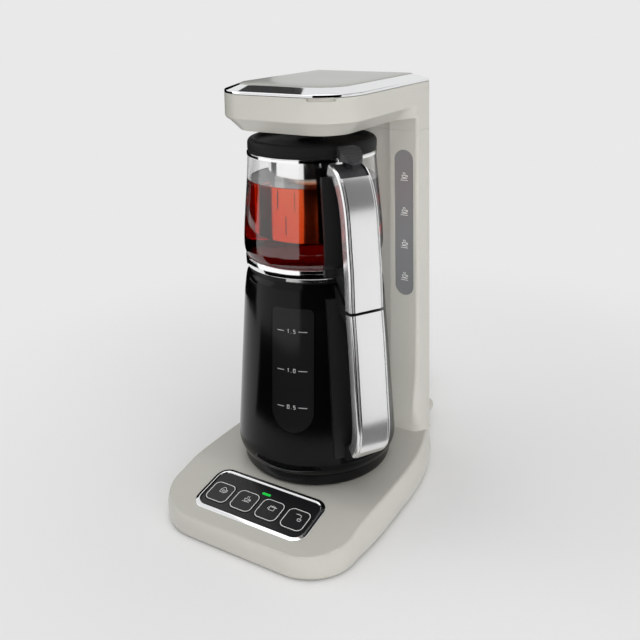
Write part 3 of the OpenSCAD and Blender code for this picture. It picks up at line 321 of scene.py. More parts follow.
def studio_material(name, paint):
    made = bpy.data.materials.new(name)
    made.use_nodes = True
    tree = made.node_tree
    tree.nodes.clear()
    node(tree, "OutputMaterial", paint(tree))
    return made


def seen_directly(tree):
    """1 for the rays that show the backdrop: from the camera, off gloss and through glass."""
    rays = node(tree, "LightPath").outputs
    either = node(tree, "Math", rays["Is Camera Ray"], rays["Is Glossy Ray"], operation="MAXIMUM")
    any_of = node(tree, "Math", either.outputs[0], rays["Is Transmission Ray"], operation="MAXIMUM")
    return any_of.outputs[0]


def table_paint(tree):
    """Matt cloth round the machine, which turns into the backdrop's even tone farther out."""
    cloth = node(tree, "BsdfDiffuse", Color=CLOTH)
    glow = node(tree, "Emission", Color=PAPER, Strength=1)
    spot = node(tree, "NewGeometry").outputs["Position"]
    reach = node(tree, "VectorMath", spot, CLOTH_MID, operation="DISTANCE").outputs["Value"]
    far = node(tree, "MapRange", Value=reach, From_Min=CLOTH_R, From_Max=PAPER_R,
               interpolation_type="SMOOTHSTEP")
    both = node(tree, "Math", far.outputs["Result"], seen_directly(tree), operation="MULTIPLY")
    return node(tree, "MixShader", both.outputs[0], cloth.outputs[0], glow.outputs[0]).outputs[0]


def card_paint(shade):
    return lambda tree: node(tree, "Emission", Color=colour(shade, shade, shade)).outputs[0]


def flat_sheet(name, corners, paint):
    """One flat face that belongs to the studio."""
    mesh = bpy.data.meshes.new(name)
    mesh.from_pydata(corners, [], [tuple(range(len(corners)))])
    mesh.materials.append(paint)
    made = bpy.data.objects.new(name, mesh)
    scene.collection.objects.link(made)
    return made


flat_sheet("table_top", [(x * TABLE_R, y * TABLE_R, 0) for x, y in (
    (-1, -1), (1, -1), (1, 1), (-1, 1))], studio_material("table_paper", table_paint))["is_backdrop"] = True

world = bpy.data.worlds.new("studio")
scene.world = world
world.use_nodes = True
air = world.node_tree
air.nodes.clear()
room = node(air, "Background", Color=(1, 1, 1, 1), Strength=ROOM_LIGHT).outputs[0]
backdrop = node(air, "Background", Color=PAPER, Strength=1).outputs[0]
node(air, "OutputWorld", node(air, "MixShader", seen_directly(air), room, backdrop).outputs[0])


def soft_box(name, at, aim, wide, high, power, mirrored=True, spread=180):
    lamp = bpy.data.lights.new(name, "AREA")
    lamp.shape, lamp.size, lamp.size_y, lamp.energy = "RECTANGLE", wide, high, power
    lamp.spread = radians(spread)
    box = bpy.data.objects.new(name, lamp)
    box.location = at
    box.rotation_euler = (Vector(aim) - Vector(at)).to_track_quat("-Z", "Y").to_euler()
    box.visible_glossy = mirrored
    scene.collection.objects.link(box)


soft_box("box_left", (-1.5, -0.7, 0.9), (0, 0, 0.2), 1.2, 1.6, 4)
soft_box("box_top", (-0.2, -0.1, 2.0), (0, 0, 0.2), 1.6, 1.6, 7)
soft_box("box_right", (1.6, -1.15, 0.8), (0.05, 0.1, 0.2), 2.0, 1.5, 12.5, mirrored=False)
soft_box("box_column", (0.75, -1.1, 0.34), (0.09, 0.11, 0.2), 0.3, 0.5, 0.2, mirrored=False, spread=18)


def polar(r, a):
    return r * cos(radians(a)), r * sin(radians(a))


def standing(r, a0, a1, low, high):
    """Corners of an upright card at distance r, between two directions from the kettle."""
    near, far = polar(r, a0), polar(r, a1)
    return [(*near, low), (*far, low), (*far, high), (*near, high)]


def lying(r0, r1, a0, a1):
    """Corners of a card that lies on the table, between two distances and two directions."""
    turns = range(a0, a1 + 1, 15)
    return [(*polar(r, a), CARD_LIFT) for r, way in ((r0, turns), (r1, turns[::-1])) for a in way]


black, dark, grey, white = [studio_material("card_" + name, card_paint(shade)) for name, shade in (
    ("black", 3), ("dark", 60), ("grey", 120), ("white", 255))]
for name, paint, corners, through in (
        ("right", black, standing(0.95, -81, -48, 0.0, 1.2), True),
        ("right_too", black, standing(0.95, -48, -15, 0.0, 1.2), True),
        ("front", white, standing(0.68, -162, -121, 0.0, 0.3), True),
        ("front_too", white, standing(0.68, -121, -81, 0.0, 0.3), True),
        ("left", black, standing(1.3, 126, 168, 0.0, 0.75), False),
        ("left_too", black, standing(1.3, 168, 198, 0.06, 0.4), True),
        ("side", grey, standing(1.3, -24, 14, 0.4, 1.9), False),
        ("behind", dark, standing(1.5, 132, 140.5, 1.3, 2.6), False),
        ("behind_too", black, standing(1.5, 55, 92, 1.1, 2.6), False),
        ("by_base", grey, lying(0.17, 0.36, -30, 15), False),
        ("floor", black, lying(0.27, 0.9, -150, -15), True),
        ("floor_left", black, lying(0.64, 1.3, 140, 200), True)):
    card = flat_sheet("card_" + name, corners, paint)
    card.visible_camera = card.visible_diffuse = card.visible_shadow = False
    card.visible_transmission = through
    card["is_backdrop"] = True

# ---------------- Base housing
# One moulding in warm light grey ABS with a soft gloss: a straight front, round corners,
# sides that draw in to the column, a front that slopes down for the keys, and the plinth
# that the column stands on. The bottom plate is screwed to it from below.
BASE_W, BASE_D, BASE_H, CORNER_R = 214, 275.8, 32, 50
SHOULDER, TUCK, WIDEST, FOOT_H, AXIS_Y, SLOPE = 6.3, 3, 13, 1.5, 11.4, radians(9)
COL_W, COL_D, REAR_R, EDGE_R, RECESS_R = 149.5, 36, 8, 4, 100
FRONT_Y, REAR_Y = -BASE_D / 2, BASE_D / 2
COL_Y, WIDE_Y, JOIN_Y, BREAK_Y = REAR_Y - COL_D, AXIS_Y - 50, REAR_Y - 13.5, AXIS_Y - 76
SPLIT_Y = REAR_Y - REAR_R - 0.6
PLINTH_Z = 38
DRAW_POWER, TAPER_IN, BEND = 3.8, 4.5, 4.0
FRONT_SHARE, FRONT_BLEND, REAR_BLEND, SOFT_A = 0.35, 60, 35, 38


def side_x(y):
    """Half the width: widest beside the kettle, drawn in to the column and to the front."""
    draw_in = clamped((y - WIDE_Y) / (JOIN_Y - WIDE_Y)) ** DRAW_POWER
    taper = clamped((WIDE_Y - y) / (WIDE_Y - FRONT_Y - CORNER_R)) ** 2
    return BASE_W / 2 - (BASE_W - COL_W) / 2 * draw_in - TAPER_IN * taper


def arc(cx, cy, r, a0, a1, n):
    turn = [radians(a0 + (a1 - a0) * k / n) for k in range(n + 1)]
    return [(cx + r * cos(a), cy + r * sin(a)) for a in turn]


def corner(x, y, r, d, n):
    """The round corner at x, y of an outline that is set in by d."""
    c = max(r, d + 0.8)
    return arc(x - c, y - c, c - d, 0, 90, n)


def mirrored(half):
    return half + [(-x, y) for x, y in reversed(half)]


def base_ring(d):
    """The base's outline at its widest, set in by d."""
    start = FRONT_Y + CORNER_R
    half = arc(side_x(start) - CORNER_R, start, CORNER_R - d, -90, 0, 20)
    for k in range(1, 34):
        y = start + (JOIN_Y - start) * k / 33
        m = side_x(y + 0.5) - side_x(y - 0.5)
        half.append((side_x(y) - d * hypot(1, m), y))
    return mirrored(half + corner(COL_W / 2, REAR_Y, REAR_R, d, 8))


def with_normals(ring):
    """The points of a closed outline, each with its outward normal."""
    for i, (x, y) in enumerate(ring):
        ax, ay = ring[i - 1]
        bx, by = ring[(i + 1) % len(ring)]
        step = hypot(bx - ax, by - ay)
        yield x, y, (by - ay) / step, (ax - bx) / step


def base_in(d, e=0):
    """The outline set in by e all round, and by d at the sides but little at the front."""
    made = []
    for x, y, nx, ny in with_normals(base_ring(e)):
        side = FRONT_SHARE + (1 - FRONT_SHARE) * eased((y - FRONT_Y - CORNER_R / 2) / FRONT_BLEND)
        share = clamped((JOIN_Y - y) / REAR_BLEND) * side
        made.append((x - d * share * nx, y - d * share * ny))
    return made


def top_z(y):
    """Height of the top: level at the back, sloping in front of a softly rounded bend."""
    t = BREAK_Y - y
    return BASE_H - tan(SLOPE) * (t + sqrt(t * t + BEND * BEND)) / 2


def at_z(ring, z):
    return [(x, y, z) for x, y in ring]


def lofted(rings, caps):
    """Faces between rings of points, closed in strips across or by one face at each end."""
    n, m = len(rings[0]), len(rings)
    points = [p for ring in rings for p in ring]
    faces = [(k * n + i, k * n + (i + 1) % n, (k + 1) * n + (i + 1) % n, (k + 1) * n + i)
             for k in range(m - 1) for i in range(n)]
    for b, flip in ((0, True), ((m - 1) * n, False)) if caps else ():
        if caps == "strips":
            ends = [(b + i, b + i + 1, b + n - 2 - i, b + n - 1 - i) for i in range(n // 2 - 1)]
        else:
            ends = [tuple(range(b, b + n))]
        faces += [tuple(reversed(f)) if flip else f for f in ends]
    return points, faces


def cut(piece, *cutters, how="DIFFERENCE"):
    """Takes the cutters out of the piece, for good, or leaves only what is inside them."""
    for cutter in cutters:
        step = piece.modifiers.new("cut", "BOOLEAN")
        step.operation, step.solver, step.object = how, "EXACT", cutter
        bpy.context.view_layer.update()
        shaped = bpy.data.meshes.new_from_object(
            piece.evaluated_get(bpy.context.evaluated_depsgraph_get()))
        piece.modifiers.clear()
        piece.data = shaped
        bpy.data.objects.remove(cutter)
    shaded(shaped)
    return piece


def even_shade(piece):
    """Lets the large flat faces set the shading where they meet a rounding."""
    piece.modifiers.new("even shade", "WEIGHTED_NORMAL").keep_sharp = True
    return piece


def soften(piece, width):
    """Rounds the edges of a CAD part that are sharper than SOFT_A."""
    step = piece.modifiers.new("soft edge", "BEVEL")
    step.width, step.segments = width * 0.001, 2
    step.limit_method, step.angle_limit = "ANGLE", radians(SOFT_A)
    step.harden_normals = False
    even_shade(piece)


def rounded(w, d, r, n=10):
    ring = []
    for sx, sy, a in ((1, 1, 0), (-1, 1, 90), (-1, -1, 180), (1, -1, 270)):
        ring += arc(sx * (w / 2 - r), sy * (d / 2 - r), r, a, a + 90, n)
    return ring


PANEL_W, PANEL_D, PANEL_R, BEZEL_W, BEZEL_H = 124, 54, 13.5, 5, 1.4
PANEL_Y = BREAK_Y - PANEL_D / 2 - 3
PANEL_Z = BASE_H - (BREAK_Y - PANEL_Y) * tan(SLOPE)


def on_panel(x, y, z):
    """A point of the sloping panel, y up the slope."""
    return (x, PANEL_Y + y * cos(SLOPE) - z * sin(SLOPE),
            PANEL_Z + y * sin(SLOPE) + z * cos(SLOPE))


body_abs = finish("body_abs", skin, Colour=(194, 192, 184), Drift=0.02, Gloss=0.32, Gloss_drift=0.06,
                  IOR=1.5, Coat_Weight=0.12, Coat_Roughness=0.12)


def formed(name, rings, material=body_abs, *fixing, caps="faces"):
    """A piece lofted through rings. One without a body is still to be cut, or cuts another."""
    return made_piece(name, *lofted(rings, caps), material, *fixing)


rings = [at_z(base_in(TUCK * share, more), FOOT_H + up) for share, more, up in (
    (1, 1.5, 0), (0.98, 0.75, 0.35), (0.95, 0.3, 1), (0.7, 0, 3))]
rings += [at_z(base_in(TUCK * (1 - t) ** 1.7), FOOT_H + (WIDEST - FOOT_H) * t) for t in (0.4, 0.6, 0.8)]
SHOULDER_A = 60
for a in range(0, SHOULDER_A, 4):
    rise = sin(radians(a)) / sin(radians(SHOULDER_A))
    inset = SHOULDER * (1 - cos(radians(a))) / 0.5
    rings.append([(x, y, WIDEST + (top_z(y) - WIDEST) * rise) for x, y in base_in(inset)])
for more, low in ((0, 0.62), (0.5, 0.2), (1.3, 0.0)):
    rings.append([(x, y, top_z(y) - low) for x, y in base_in(SHOULDER, more)])
base_housing = cut(formed("base_housing", rings, caps="strips"), formed("panel_hole", [
    [on_panel(x, y, z) for x, y in rounded(PANEL_W - BEZEL_W, PANEL_D - BEZEL_W, PANEL_R - BEZEL_W / 2)]
    for z in (-9, 9)]))
fixed(even_shade(base_housing), "base", "housing", "base_shell")

cover_abs = finish("cover_abs", skin, Colour=(40, 40, 42), Gloss=0.5, IOR=1.46)
dress("base_cover", cover_abs)
rubber = finish("foot_rubber", skin, Colour=(30, 30, 31), Gloss=0.75, Peel=2500,
                Depth=0.00004, IOR=1.5)
dress("feet", rubber)

# ---------------- Kettle seat
# The ring that the kettle's foot stands on and the round contact post in its middle, in
# dark moulded plastic. They are dropped into the base top from above.
seat_pp = finish("seat_pp", skin, Colour=(58, 59, 61), Gloss=0.45, IOR=1.46)
dress("kettle_seat", seat_pp)
dress("seat_connector", cover_abs)

# ---------------- Control panel
# A chromed rim clipped into the housing frames one gloss black sheet with four square
# keys. Each key is a moulded cap with a printed outline and symbol over a switch on the
# board. A green lens lights above them.
chrome_bright = finish("chrome_bright", skin, Colour=(244, 245, 246), Drift=0.01, Gloss=0.05,
                       Gloss_drift=0.03, Peel=120, Depth=0.00001, Metallic=1)
fascia_gloss = finish("fascia_gloss", skin, Colour=(22, 22, 24), Drift=0.1, Gloss=0.28, Gloss_drift=0.1,
                      Peel=1600, Depth=0.00003, IOR=1.5)
key_gloss = finish("key_gloss", skin, Colour=(26, 26, 28), Drift=0.1, Gloss=0.3, Gloss_drift=0.1,
                   Peel=1600, Depth=0.00003, IOR=1.5)
print_pale = finish("print_pale", skin, Colour=(240, 240, 238), Gloss=0.5, IOR=1.46)
board_green = finish("board_green", skin, Colour=(20, 74, 44), Gloss=0.4, Drift=0.2, IOR=1.5)
rim_profile = [(0, -0.02), (0, 0.4), (0.1, 0.55), (0.35, 0.68), (2.7, 1.28), (3.1, 1.38), (3.5, BEZEL_H),
               (3.8, 1.34), (4.15, 1.15), (4.8, 0.5), (BEZEL_W, 0.2), (BEZEL_W, -2.8),
               (2.75, -2.8), (2.75, -0.02)]


def loop(ring):
    return ring + [ring[0]]


even_shade(formed("panel_rim", loop([[on_panel(x, y, z) for x, y in rounded(
    PANEL_W - 2 * q, PANEL_D - 2 * q, PANEL_R - q, 14)] for q, z in rim_profile]),
    chrome_bright, "base", "chrome", 50, ("panel_bezel",), caps=None))
dress("panel_fascia", fascia_gloss)
dress("control_board", board_green)
lens_green = finish("lens_green", skin, Colour=(30, 190, 70), Gloss=0.2, IOR=1.5,
                    Emission_Color=colour(30, 220, 80), Emission_Strength=0.3)
dress("led_lens", lens_green)

KEY_S, KEY_R, KEY_PITCH, KEY_Y, KEY_TOP = 25, 6.5, 28.4, -3.8, 1.0
OUTLINE_IN, OUTLINE_INK, SIGN_INK, INK_H = 1.1, 0.65, 0.45, 0.04
SIGN_SCALE, SIGN_X, SIGN_Y, SIGN_Z = 0.9, 1.0, 3.0, 0.96


def inked(name, strokes, width, put, body, material=print_pale):
    """Printed strokes: each is a list of points, drawn as a flat closed ribbon of ink."""
    points, faces = [], []
    for stroke in strokes:
        line = [complex(*p) for p in stroke]
        closed = line[0] == line[-1] and len(line) > 3
        if closed:
            line.pop()
        n, start = len(line), len(points)
        for i, p in enumerate(line):
            came = p - line[i - 1] if i or closed else 0
            goes = line[(i + 1) % n] - p if i < n - 1 or closed else 0
            came, goes = came / (abs(came) or 1), goes / (abs(goes) or 1)
            along = (came + goes) / (abs(came + goes) or 1)
            leg = came or goes
            h = width / 2 / max(0.4, leg.real * along.real + leg.imag * along.imag)
            for side, z in ((1, 0), (-1, 0), (-1, INK_H), (1, INK_H)):
                points.append(put(p.real - side * h * along.imag, p.imag + side * h * along.real, z))
        for i in range(n if closed else n - 1):
            a, b = start + 4 * i, start + 4 * ((i + 1) % n)
            faces += [(a + k, b + k, b + (k + 1) % 4, a + (k + 1) % 4) for k in range(4)]
        if not closed:
            e = start + 4 * (n - 1)
            faces += [(start, start + 1, start + 2, start + 3), (e + 3, e + 2, e + 1, e)]
    made_piece(name, points, faces, material, body)


def wave(x, y, h):
    return [(x + 0.35 * sin(k * 1.05), y + h * k / 6) for k in range(7)]


jug = [[(-3, -3), (-3, 1.6), (-1, 4), (1, 4), (3, 1.6), (3, -3), (-3, -3)],
       loop(arc(0, -0.4, 1.1, 0, 330, 10)), [(3, 1.2), (4.6, 1.2), (4.6, -1.8), (3, -1.8)]]
cup = [arc(0, 0, 3, 180, 360, 12) + [(-3, 0)], [(-4.4, -3.9), (4.4, -3.9)],
       arc(3.2, -0.9, 1.2, -80, 80, 6), wave(-1, 1.2, 2.8), wave(1, 1.2, 2.8)]
pot_sign = [[(-2.8, -3.2), (-3.2, 1), (3.2, 1), (2.8, -3.2), (-2.8, -3.2)], [(-3.6, 2.1), (3.6, 2.1)],
            [(0, 2.1), (0, 3.6)], [(3.1, 0.2), (5, 1.6)], arc(-3.4, -1, 1.3, 100, 260, 6)]
tap = [[(-4, 3.6), (1.2, 3.6), (2.6, 2.4), (2.6, 0.8)], [(-1.4, 3.6), (-1.4, 4.8)],
       [(0.6, -1.4), (1.0, -4), (4.2, -4), (4.6, -1.4), (0.6, -1.4)], [(2.6, 0.2), (2.6, -0.8)]]
profile = [(0, -3), (0, 0.55), (0.12, 0.8), (0.45, KEY_TOP), (1.2, KEY_TOP), (4, 0.93), (8, 0.87)]
for i, (letter, sign) in enumerate(zip("abcd", (jug, cup, pot_sign, tap))):
    body = "key_" + letter

    def on_key(x, y, z, mid=(i - 1.5) * KEY_PITCH):
        return on_panel(mid + x, KEY_Y + y, z)

    even_shade(formed("key_cap_" + letter, [[on_key(x, y, z) for x, y in rounded(
        KEY_S - 2 * q, KEY_S - 2 * q, max(KEY_R - q, 1.2), 9)] for q, z in profile],
        key_gloss, body, "black", 50, ("key_%d" % (i + 1),)))
    inked("key_outline_" + letter, [loop(rounded(KEY_S - 2 * OUTLINE_IN, KEY_S - 2 * OUTLINE_IN,
                                                 KEY_R - OUTLINE_IN, 9))],
          OUTLINE_INK, lambda x, y, z: on_key(x, y, KEY_TOP + 0.01 + z), body)
    inked("key_sign_" + letter, [[(x * SIGN_SCALE + SIGN_X, y * SIGN_SCALE + SIGN_Y) for x, y in stroke]
                                 for stroke in sign],
          SIGN_INK, lambda x, y, z: on_key(x, y, SIGN_Z + z), body)

# ---------------- Column
# The water column: one ABS moulding with a recess that follows the kettle, flat faces
# beside it and a foot that flares out to meet the base. The back is closed by a vented
# cover. A smoke-grey level window with pale cup marks lies in the right front face.
FLARE_SIDE, FLARE_FRONT, FLARE_H, LEAN_H, SEAM_Z, COL_WALL = 10, 13, 27, 142, 357.8, 2.8
LEAN_POWER, SIDE_SPREAD, FRONT_SPREAD, EDGE = 3.3, 0.5, 0.6, 0.45
GAUGE_W, GAUGE_L, GAUGE_INK = 21.8, 160, 0.6
GAUGE_X, GAUGE_MID, GAUGE_FRONT = COL_W / 2 - 16.6, SEAM_Z - 21 - GAUGE_L / 2, COL_Y + 0.6


def col_ring(d):
    """The column's outline above its foot, set in by d."""
    r = RECESS_R + d
    a = acos((COL_Y + d - AXIS_Y) / r)
    e = max(EDGE_R, d + 0.5)
    half = [(r * sin(a * k / 20), AXIS_Y + r * cos(a * k / 20)) for k in range(21)]
    half += arc(COL_W / 2 - e, COL_Y + e, e - d, -90, 0, 8)
    half += [(COL_W / 2 - d, COL_Y + EDGE_R + (COL_D - EDGE_R - REAR_R) * k / 8) for k in range(1, 8)]
    half += corner(COL_W / 2, REAR_Y, REAR_R, d, 6)
    return half + [(-x, y) for x, y in reversed(half[1:])]


def side_out(z):
    """How far the foot flares out to the sides at a height."""
    return FLARE_SIDE * (1 - clamped((z - PLINTH_Z) / FLARE_H)) ** 2 + max(0, PLINTH_Z - z) * SIDE_SPREAD


def front_out(z):
    """How far the front leans out at a height."""
    lean = FLARE_FRONT * (1 - clamped((z - PLINTH_Z) / LEAN_H)) ** LEAN_POWER
    return lean + max(0, PLINTH_Z - z) * FRONT_SPREAD


def col_at(z, d, at=None):
    """The column's outline as it is at height z and set in by d, put at another height if given."""
    made = []
    for x, y, nx, ny in with_normals(col_ring(d)):
        fade = clamped((SPLIT_Y - y) / (SPLIT_Y - COL_Y))
        made.append((x + (nx * side_out(z) * fade if nx * x > 0 else 0), y + min(0, ny) * front_out(z),
                     z if at is None else at))
    return made


levels = [PLINTH_Z + FLARE_H * k / 14 for k in range(1, 15)]
levels += [PLINTH_Z + FLARE_H + (LEAN_H - FLARE_H) * k / 14 for k in range(1, 15)]
foot = col_at(PLINTH_Z, EDGE)
even_shade(formed("column_plinth", [
    col_at(BASE_H - 1, 0), col_at(BASE_H + 3, 0), col_at(PLINTH_Z, 0, PLINTH_Z - EDGE), foot],
    body_abs, "base", "housing", 32, ("base_shell",)))
column = formed("column_housing", [
    foot, col_at(PLINTH_Z, 0, PLINTH_Z + EDGE), *[col_at(z, 0) for z in levels],
    col_at(SEAM_Z - EDGE, 0), col_at(SEAM_Z, EDGE)])
hollow = formed("column_hollow", [col_at(max(z, PLINTH_Z), COL_WALL, z) for z in (
    PLINTH_Z - 3, 44, 52, 65, 90, 120, 160, SEAM_Z + 5)])


def block(name, low, high, material=body_abs, *fixing):
    (ax, ay, az), (bx, by, bz) = low, high
    ring = [(ax, ay), (bx, ay), (bx, by), (ax, by)]
    return formed(name, [at_z(ring, az), at_z(ring, bz)], material, *fixing)


def capsule(w, l):
    return arc(0, (l - w) / 2, w / 2, 0, 180, 24) + arc(0, -(l - w) / 2, w / 2, 180, 360, 24)


gauge_slot = formed("gauge_slot", [[(GAUGE_X + x, y, GAUGE_MID + z) for x, z in capsule(
    GAUGE_W, GAUGE_L)] for y in (COL_Y + 20, COL_Y - 20)])
cut(column, hollow, gauge_slot, block("behind_split", (-100, SPLIT_Y, 0), (100, 200, 400)))
fixed(even_shade(column), "base", "housing", "column_shell")
dress("rear_cover", body_abs)
tank_clear = finish("tank_clear", skin, Colour=(196, 206, 212), Gloss=0.2, IOR=1.46,
                    Transmission_Weight=0.4)
dress("water_tank", tank_clear)

window_smoke = finish("window_smoke", skin, Colour=(132, 132, 134), Gloss=0.22, Drift=0.06, IOR=1.5,
                      Coat_Weight=0.5, Coat_Roughness=0.05)
face = [(0.1, COL_WALL + 0.1), (0.2, 1.8), (0.1, 0.5), (0.45, 0.15), (1.3, 0.0), (2.6, 0.12), (4.5, 0.3)]
even_shade(formed("level_gauge", [[
    (GAUGE_X + x * (GAUGE_W - 2 * q) / GAUGE_W, GAUGE_FRONT + y,
     GAUGE_MID + z * (GAUGE_L - 2 * q) / GAUGE_L)
    for x, z in capsule(GAUGE_W, GAUGE_L)] for q, y in face],
    window_smoke, "base", "window", 40, ("level_window",)))
small_cup = [arc(0, 0, 2.6, 180, 360, 10) + [(-2.6, 0)], [(-3.6, -3.4), (3.6, -3.4)],
             arc(2.8, -0.8, 1.1, -80, 80, 5), wave(-0.8, 1, 2.2), wave(0.9, 1, 2.2),
             [(-4.2, -5.4), (4.2, -5.4)]]
for k, height in enumerate((199, 235, 271, 309)):
    inked("gauge_mark_%d" % (k + 1), small_cup, GAUGE_INK,
          lambda x, y, z: (GAUGE_X + x, GAUGE_FRONT + 0.27 - z, height + y), "base")

# ---------------- Head
# The pouring head carries on from the column over the teapot: a vertical band above a
# skirt that slants in, in the same ABS. The spout is pressed up from below, and a steel
# pin at the rear carries the filling lid. A short notch under the rim takes a finger.
HEAD_D, HEAD_R, HEAD_Z, SKIRT_H, SKIRT_IN = 199.2, 45, 371.8, 13.8, 14
HEAD_Y, CREASE_Z, FLANGE_Z, BEVEL_Z, PLATE_Z = REAR_Y - HEAD_D, 385.6, 408.3, 411.3, 416.3
HINGE_Y, HINGE_Z, PIN_D, BARREL_L = REAR_Y - 4, 409.8, 3, 96
BARREL_R, HALF_L, LUG_X = PIN_D / 2 + 1.6, BARREL_L / 2, BARREL_L / 2 + 3.5


def head_ring(d, s=0, n=24):
    """The head's outline set in by d, and by s more where the skirt slants in."""
    half = arc(COL_W / 2 - HEAD_R, HEAD_Y + HEAD_R, HEAD_R - d - s, -90, 0, n)
    start = HEAD_Y + HEAD_R
    ys = [start + (COL_Y - 30 - start) * k / 6 for k in range(1, 7)]
    ys += [COL_Y - k for k in range(25, -1, -5)]
    half += [(COL_W / 2 - d - s * clamped((COL_Y - y) / 30), y) for y in ys]
    return mirrored(half + corner(COL_W / 2, REAR_Y, REAR_R, d, 6))


def rod(name, start, along, r, n=48, material=body_abs):
    """A round bar from start, along a vector."""
    start, along = Vector(start), Vector(along)
    u = along.orthogonal().normalized()
    v = along.normalized().cross(u)
    turn = [tau * k / n for k in range(n)]
    return formed(name, [[tuple(start + along * e + r * (cos(a) * u + sin(a) * v))
                          for a in turn] for e in (0, 1)], material)


skirt = [(0.6, SKIRT_IN, 0), (0.15, SKIRT_IN, 0.5), (0, SKIRT_IN * 0.9, 2.0),
         (0, SKIRT_IN * 0.35, SKIRT_H * 0.7), (0, 1.3, SKIRT_H - 1.6), (0, 0.35, SKIRT_H - 0.5),
         (0, 0, SKIRT_H + 0.7), (0, 0, 36), (0.3, 0, 36.4), (0.7, 0, FLANGE_Z - HEAD_Z)]
head = formed("head_housing", [at_z(head_ring(d, s), HEAD_Z + z) for d, s, z in skirt], caps="strips")
neck = formed("head_neck", [at_z(col_ring(EDGE), SEAM_Z), at_z(col_ring(0), SEAM_Z + EDGE),
                            at_z(col_ring(0), HEAD_Z + 1)])
w = COL_WALL + 1
tray = formed("head_tray", [
    at_z(head_ring(w, SKIRT_IN), HEAD_Z + COL_WALL), at_z(head_ring(w), CREASE_Z),
    at_z(head_ring(w), FLANGE_Z + 9)], caps="strips")
inner = [at_z(col_ring(COL_WALL), z) for z in (SEAM_Z - 1, HEAD_Z + COL_WALL + 2)]
notch = formed("notch", loop([at_z(head_ring(d, 0, 60), FLANGE_Z + z) for d, z in (
    (-1, -3), (-1, 1), (2.4, 1), (2.4, -3))]), caps=None)
mid = Vector((COL_W / 2 - HEAD_R, HEAD_Y + HEAD_R))
wedge = [tuple(mid)] + [tuple(mid + Vector(polar(1, a)) * 90) for a in (-78, -44)]
cut(notch, formed("notch_side", [at_z(wedge, FLANGE_Z + z) for z in (-9, 9)]), how="INTERSECT")
cut(head, tray, notch, rod("spout_hole", (0, AXIS_Y, HEAD_Z - 3), (0, 0, 20), 9),
    rod("pin_hole", (-HALF_L - 6, HINGE_Y, HINGE_Z), (BARREL_L + 12, 0, 0), PIN_D / 2),
    rod("barrel_groove", (-HALF_L - 0.5, HINGE_Y, HINGE_Z), (BARREL_L + 1, 0, 0), BARREL_R + 0.5),
    block("hinge_room", (-HALF_L - 0.5, HINGE_Y, HINGE_Z - BARREL_R - 0.5),
          (HALF_L + 0.5, HINGE_Y + 20, HINGE_Z + 20)), formed("neck_hollow", inner))
cut(neck, formed("neck_hollow", inner))
for part in (head, neck):
    fixed(even_shade(part), "base", "housing", "head_shell")
lug = [(HINGE_Y - BARREL_R, FLANGE_Z - 8), (HINGE_Y + 3.6, FLANGE_Z - 8), (HINGE_Y + 3.6, HINGE_Z)]
lug += arc(HINGE_Y, HINGE_Z, BARREL_R, 0, 180, 12)
for side, x in (("left", -LUG_X), ("right", LUG_X)):
    formed("hinge_lug_" + side, [[(x + e, y, z) for y, z in lug] for e in (-3, 3)], body_abs,
           "base", "housing")
spout_black = finish("spout_black", skin, Colour=(34, 34, 36), Gloss=0.4, IOR=1.5)
dress("spout", spout_black)
steel_bright = finish("steel_bright", grain, Colour=(205, 205, 204), Gloss=0.22, Gloss_drift=0.12,
                      Lines=(14, 14, 1400), Metallic=1)
dress("lid_pin", steel_bright)

# ---------------- Filling lid
# The lid over the water inlet: a frame of chromed ABS with a flange and a broad bevel,
# a plate laid into it, and a silicone seal below. The plate is the housing's plastic in a
# darker colour, painted shade that offsets the light from above. Its barrel turns on the
# steel pin at the rear.
f = FLANGE_Z + 0.3
bevel = [(0.4, f), (0.1, f + 0.15), (0, f + 0.4), (0, BEVEL_Z - 0.75), (0.12, BEVEL_Z - 0.4),
         (0.45, BEVEL_Z - 0.08), (1.1, BEVEL_Z + 0.2), (14.2, PLATE_Z - 0.25), (14.8, PLATE_Z - 0.08),
         (15, PLATE_Z - 0.2), (15, PLATE_Z - 2.2), (7, BEVEL_Z - 0.6), (6.4, f)]
lid_frame = formed("lid_frame", loop([at_z(head_ring(q), z) for q, z in bevel]), chrome_bright,
                   caps=None)
cut(lid_frame, block("behind_hinge", (-100, HINGE_Y, FLANGE_Z - 5), (100, HINGE_Y + 30, FLANGE_Z + 25)),
    *[block("lug_room", (x - 3.5, HINGE_Y - BARREL_R - 0.6, FLANGE_Z - 5),
            (x + 3.5, HINGE_Y + 25, FLANGE_Z + 25)) for x in (-LUG_X, LUG_X)])
fixed(even_shade(lid_frame), "filling_lid", "chrome", "top_frame")
barrel = rod("lid_barrel", (-HALF_L, HINGE_Y, HINGE_Z), (BARREL_L, 0, 0), BARREL_R, 48, chrome_bright)
cut(barrel, rod("barrel_bore", (-BARREL_L, HINGE_Y, HINGE_Z), (2 * BARREL_L, 0, 0),
                PIN_D / 2 + 0.15, 32))
fixed(barrel, "filling_lid", "chrome", "top_frame")
block("lid_bridge", (-HALF_L, HINGE_Y - 8, f), (HALF_L, HINGE_Y - 1.8, f + 2.5), chrome_bright,
      "filling_lid", "chrome")
# The plate's colour is the housing's made darker: painted shade against the light from above.
plate_painted_shade = finish("plate_painted_shade", skin, Colour=(160, 160, 154), Drift=0.02, Gloss=0.3, Gloss_drift=0.08,
                   IOR=1.5, Coat_Weight=0.2, Coat_Roughness=0.1)
plate = [(15.3, -3), (15.2, -0.3), (15.3, 0.1), (15.8, 0.5), (17, 0.95), (20, 1.3), (23, 1.6), (31, 2.1)]
even_shade(formed("lid_plate_moulding", [at_z(head_ring(q), PLATE_Z + z) for q, z in plate],
                  plate_painted_shade, "filling_lid", "housing", 40, ("lid_plate",), caps="strips"))
dress("lid_seal", rubber)

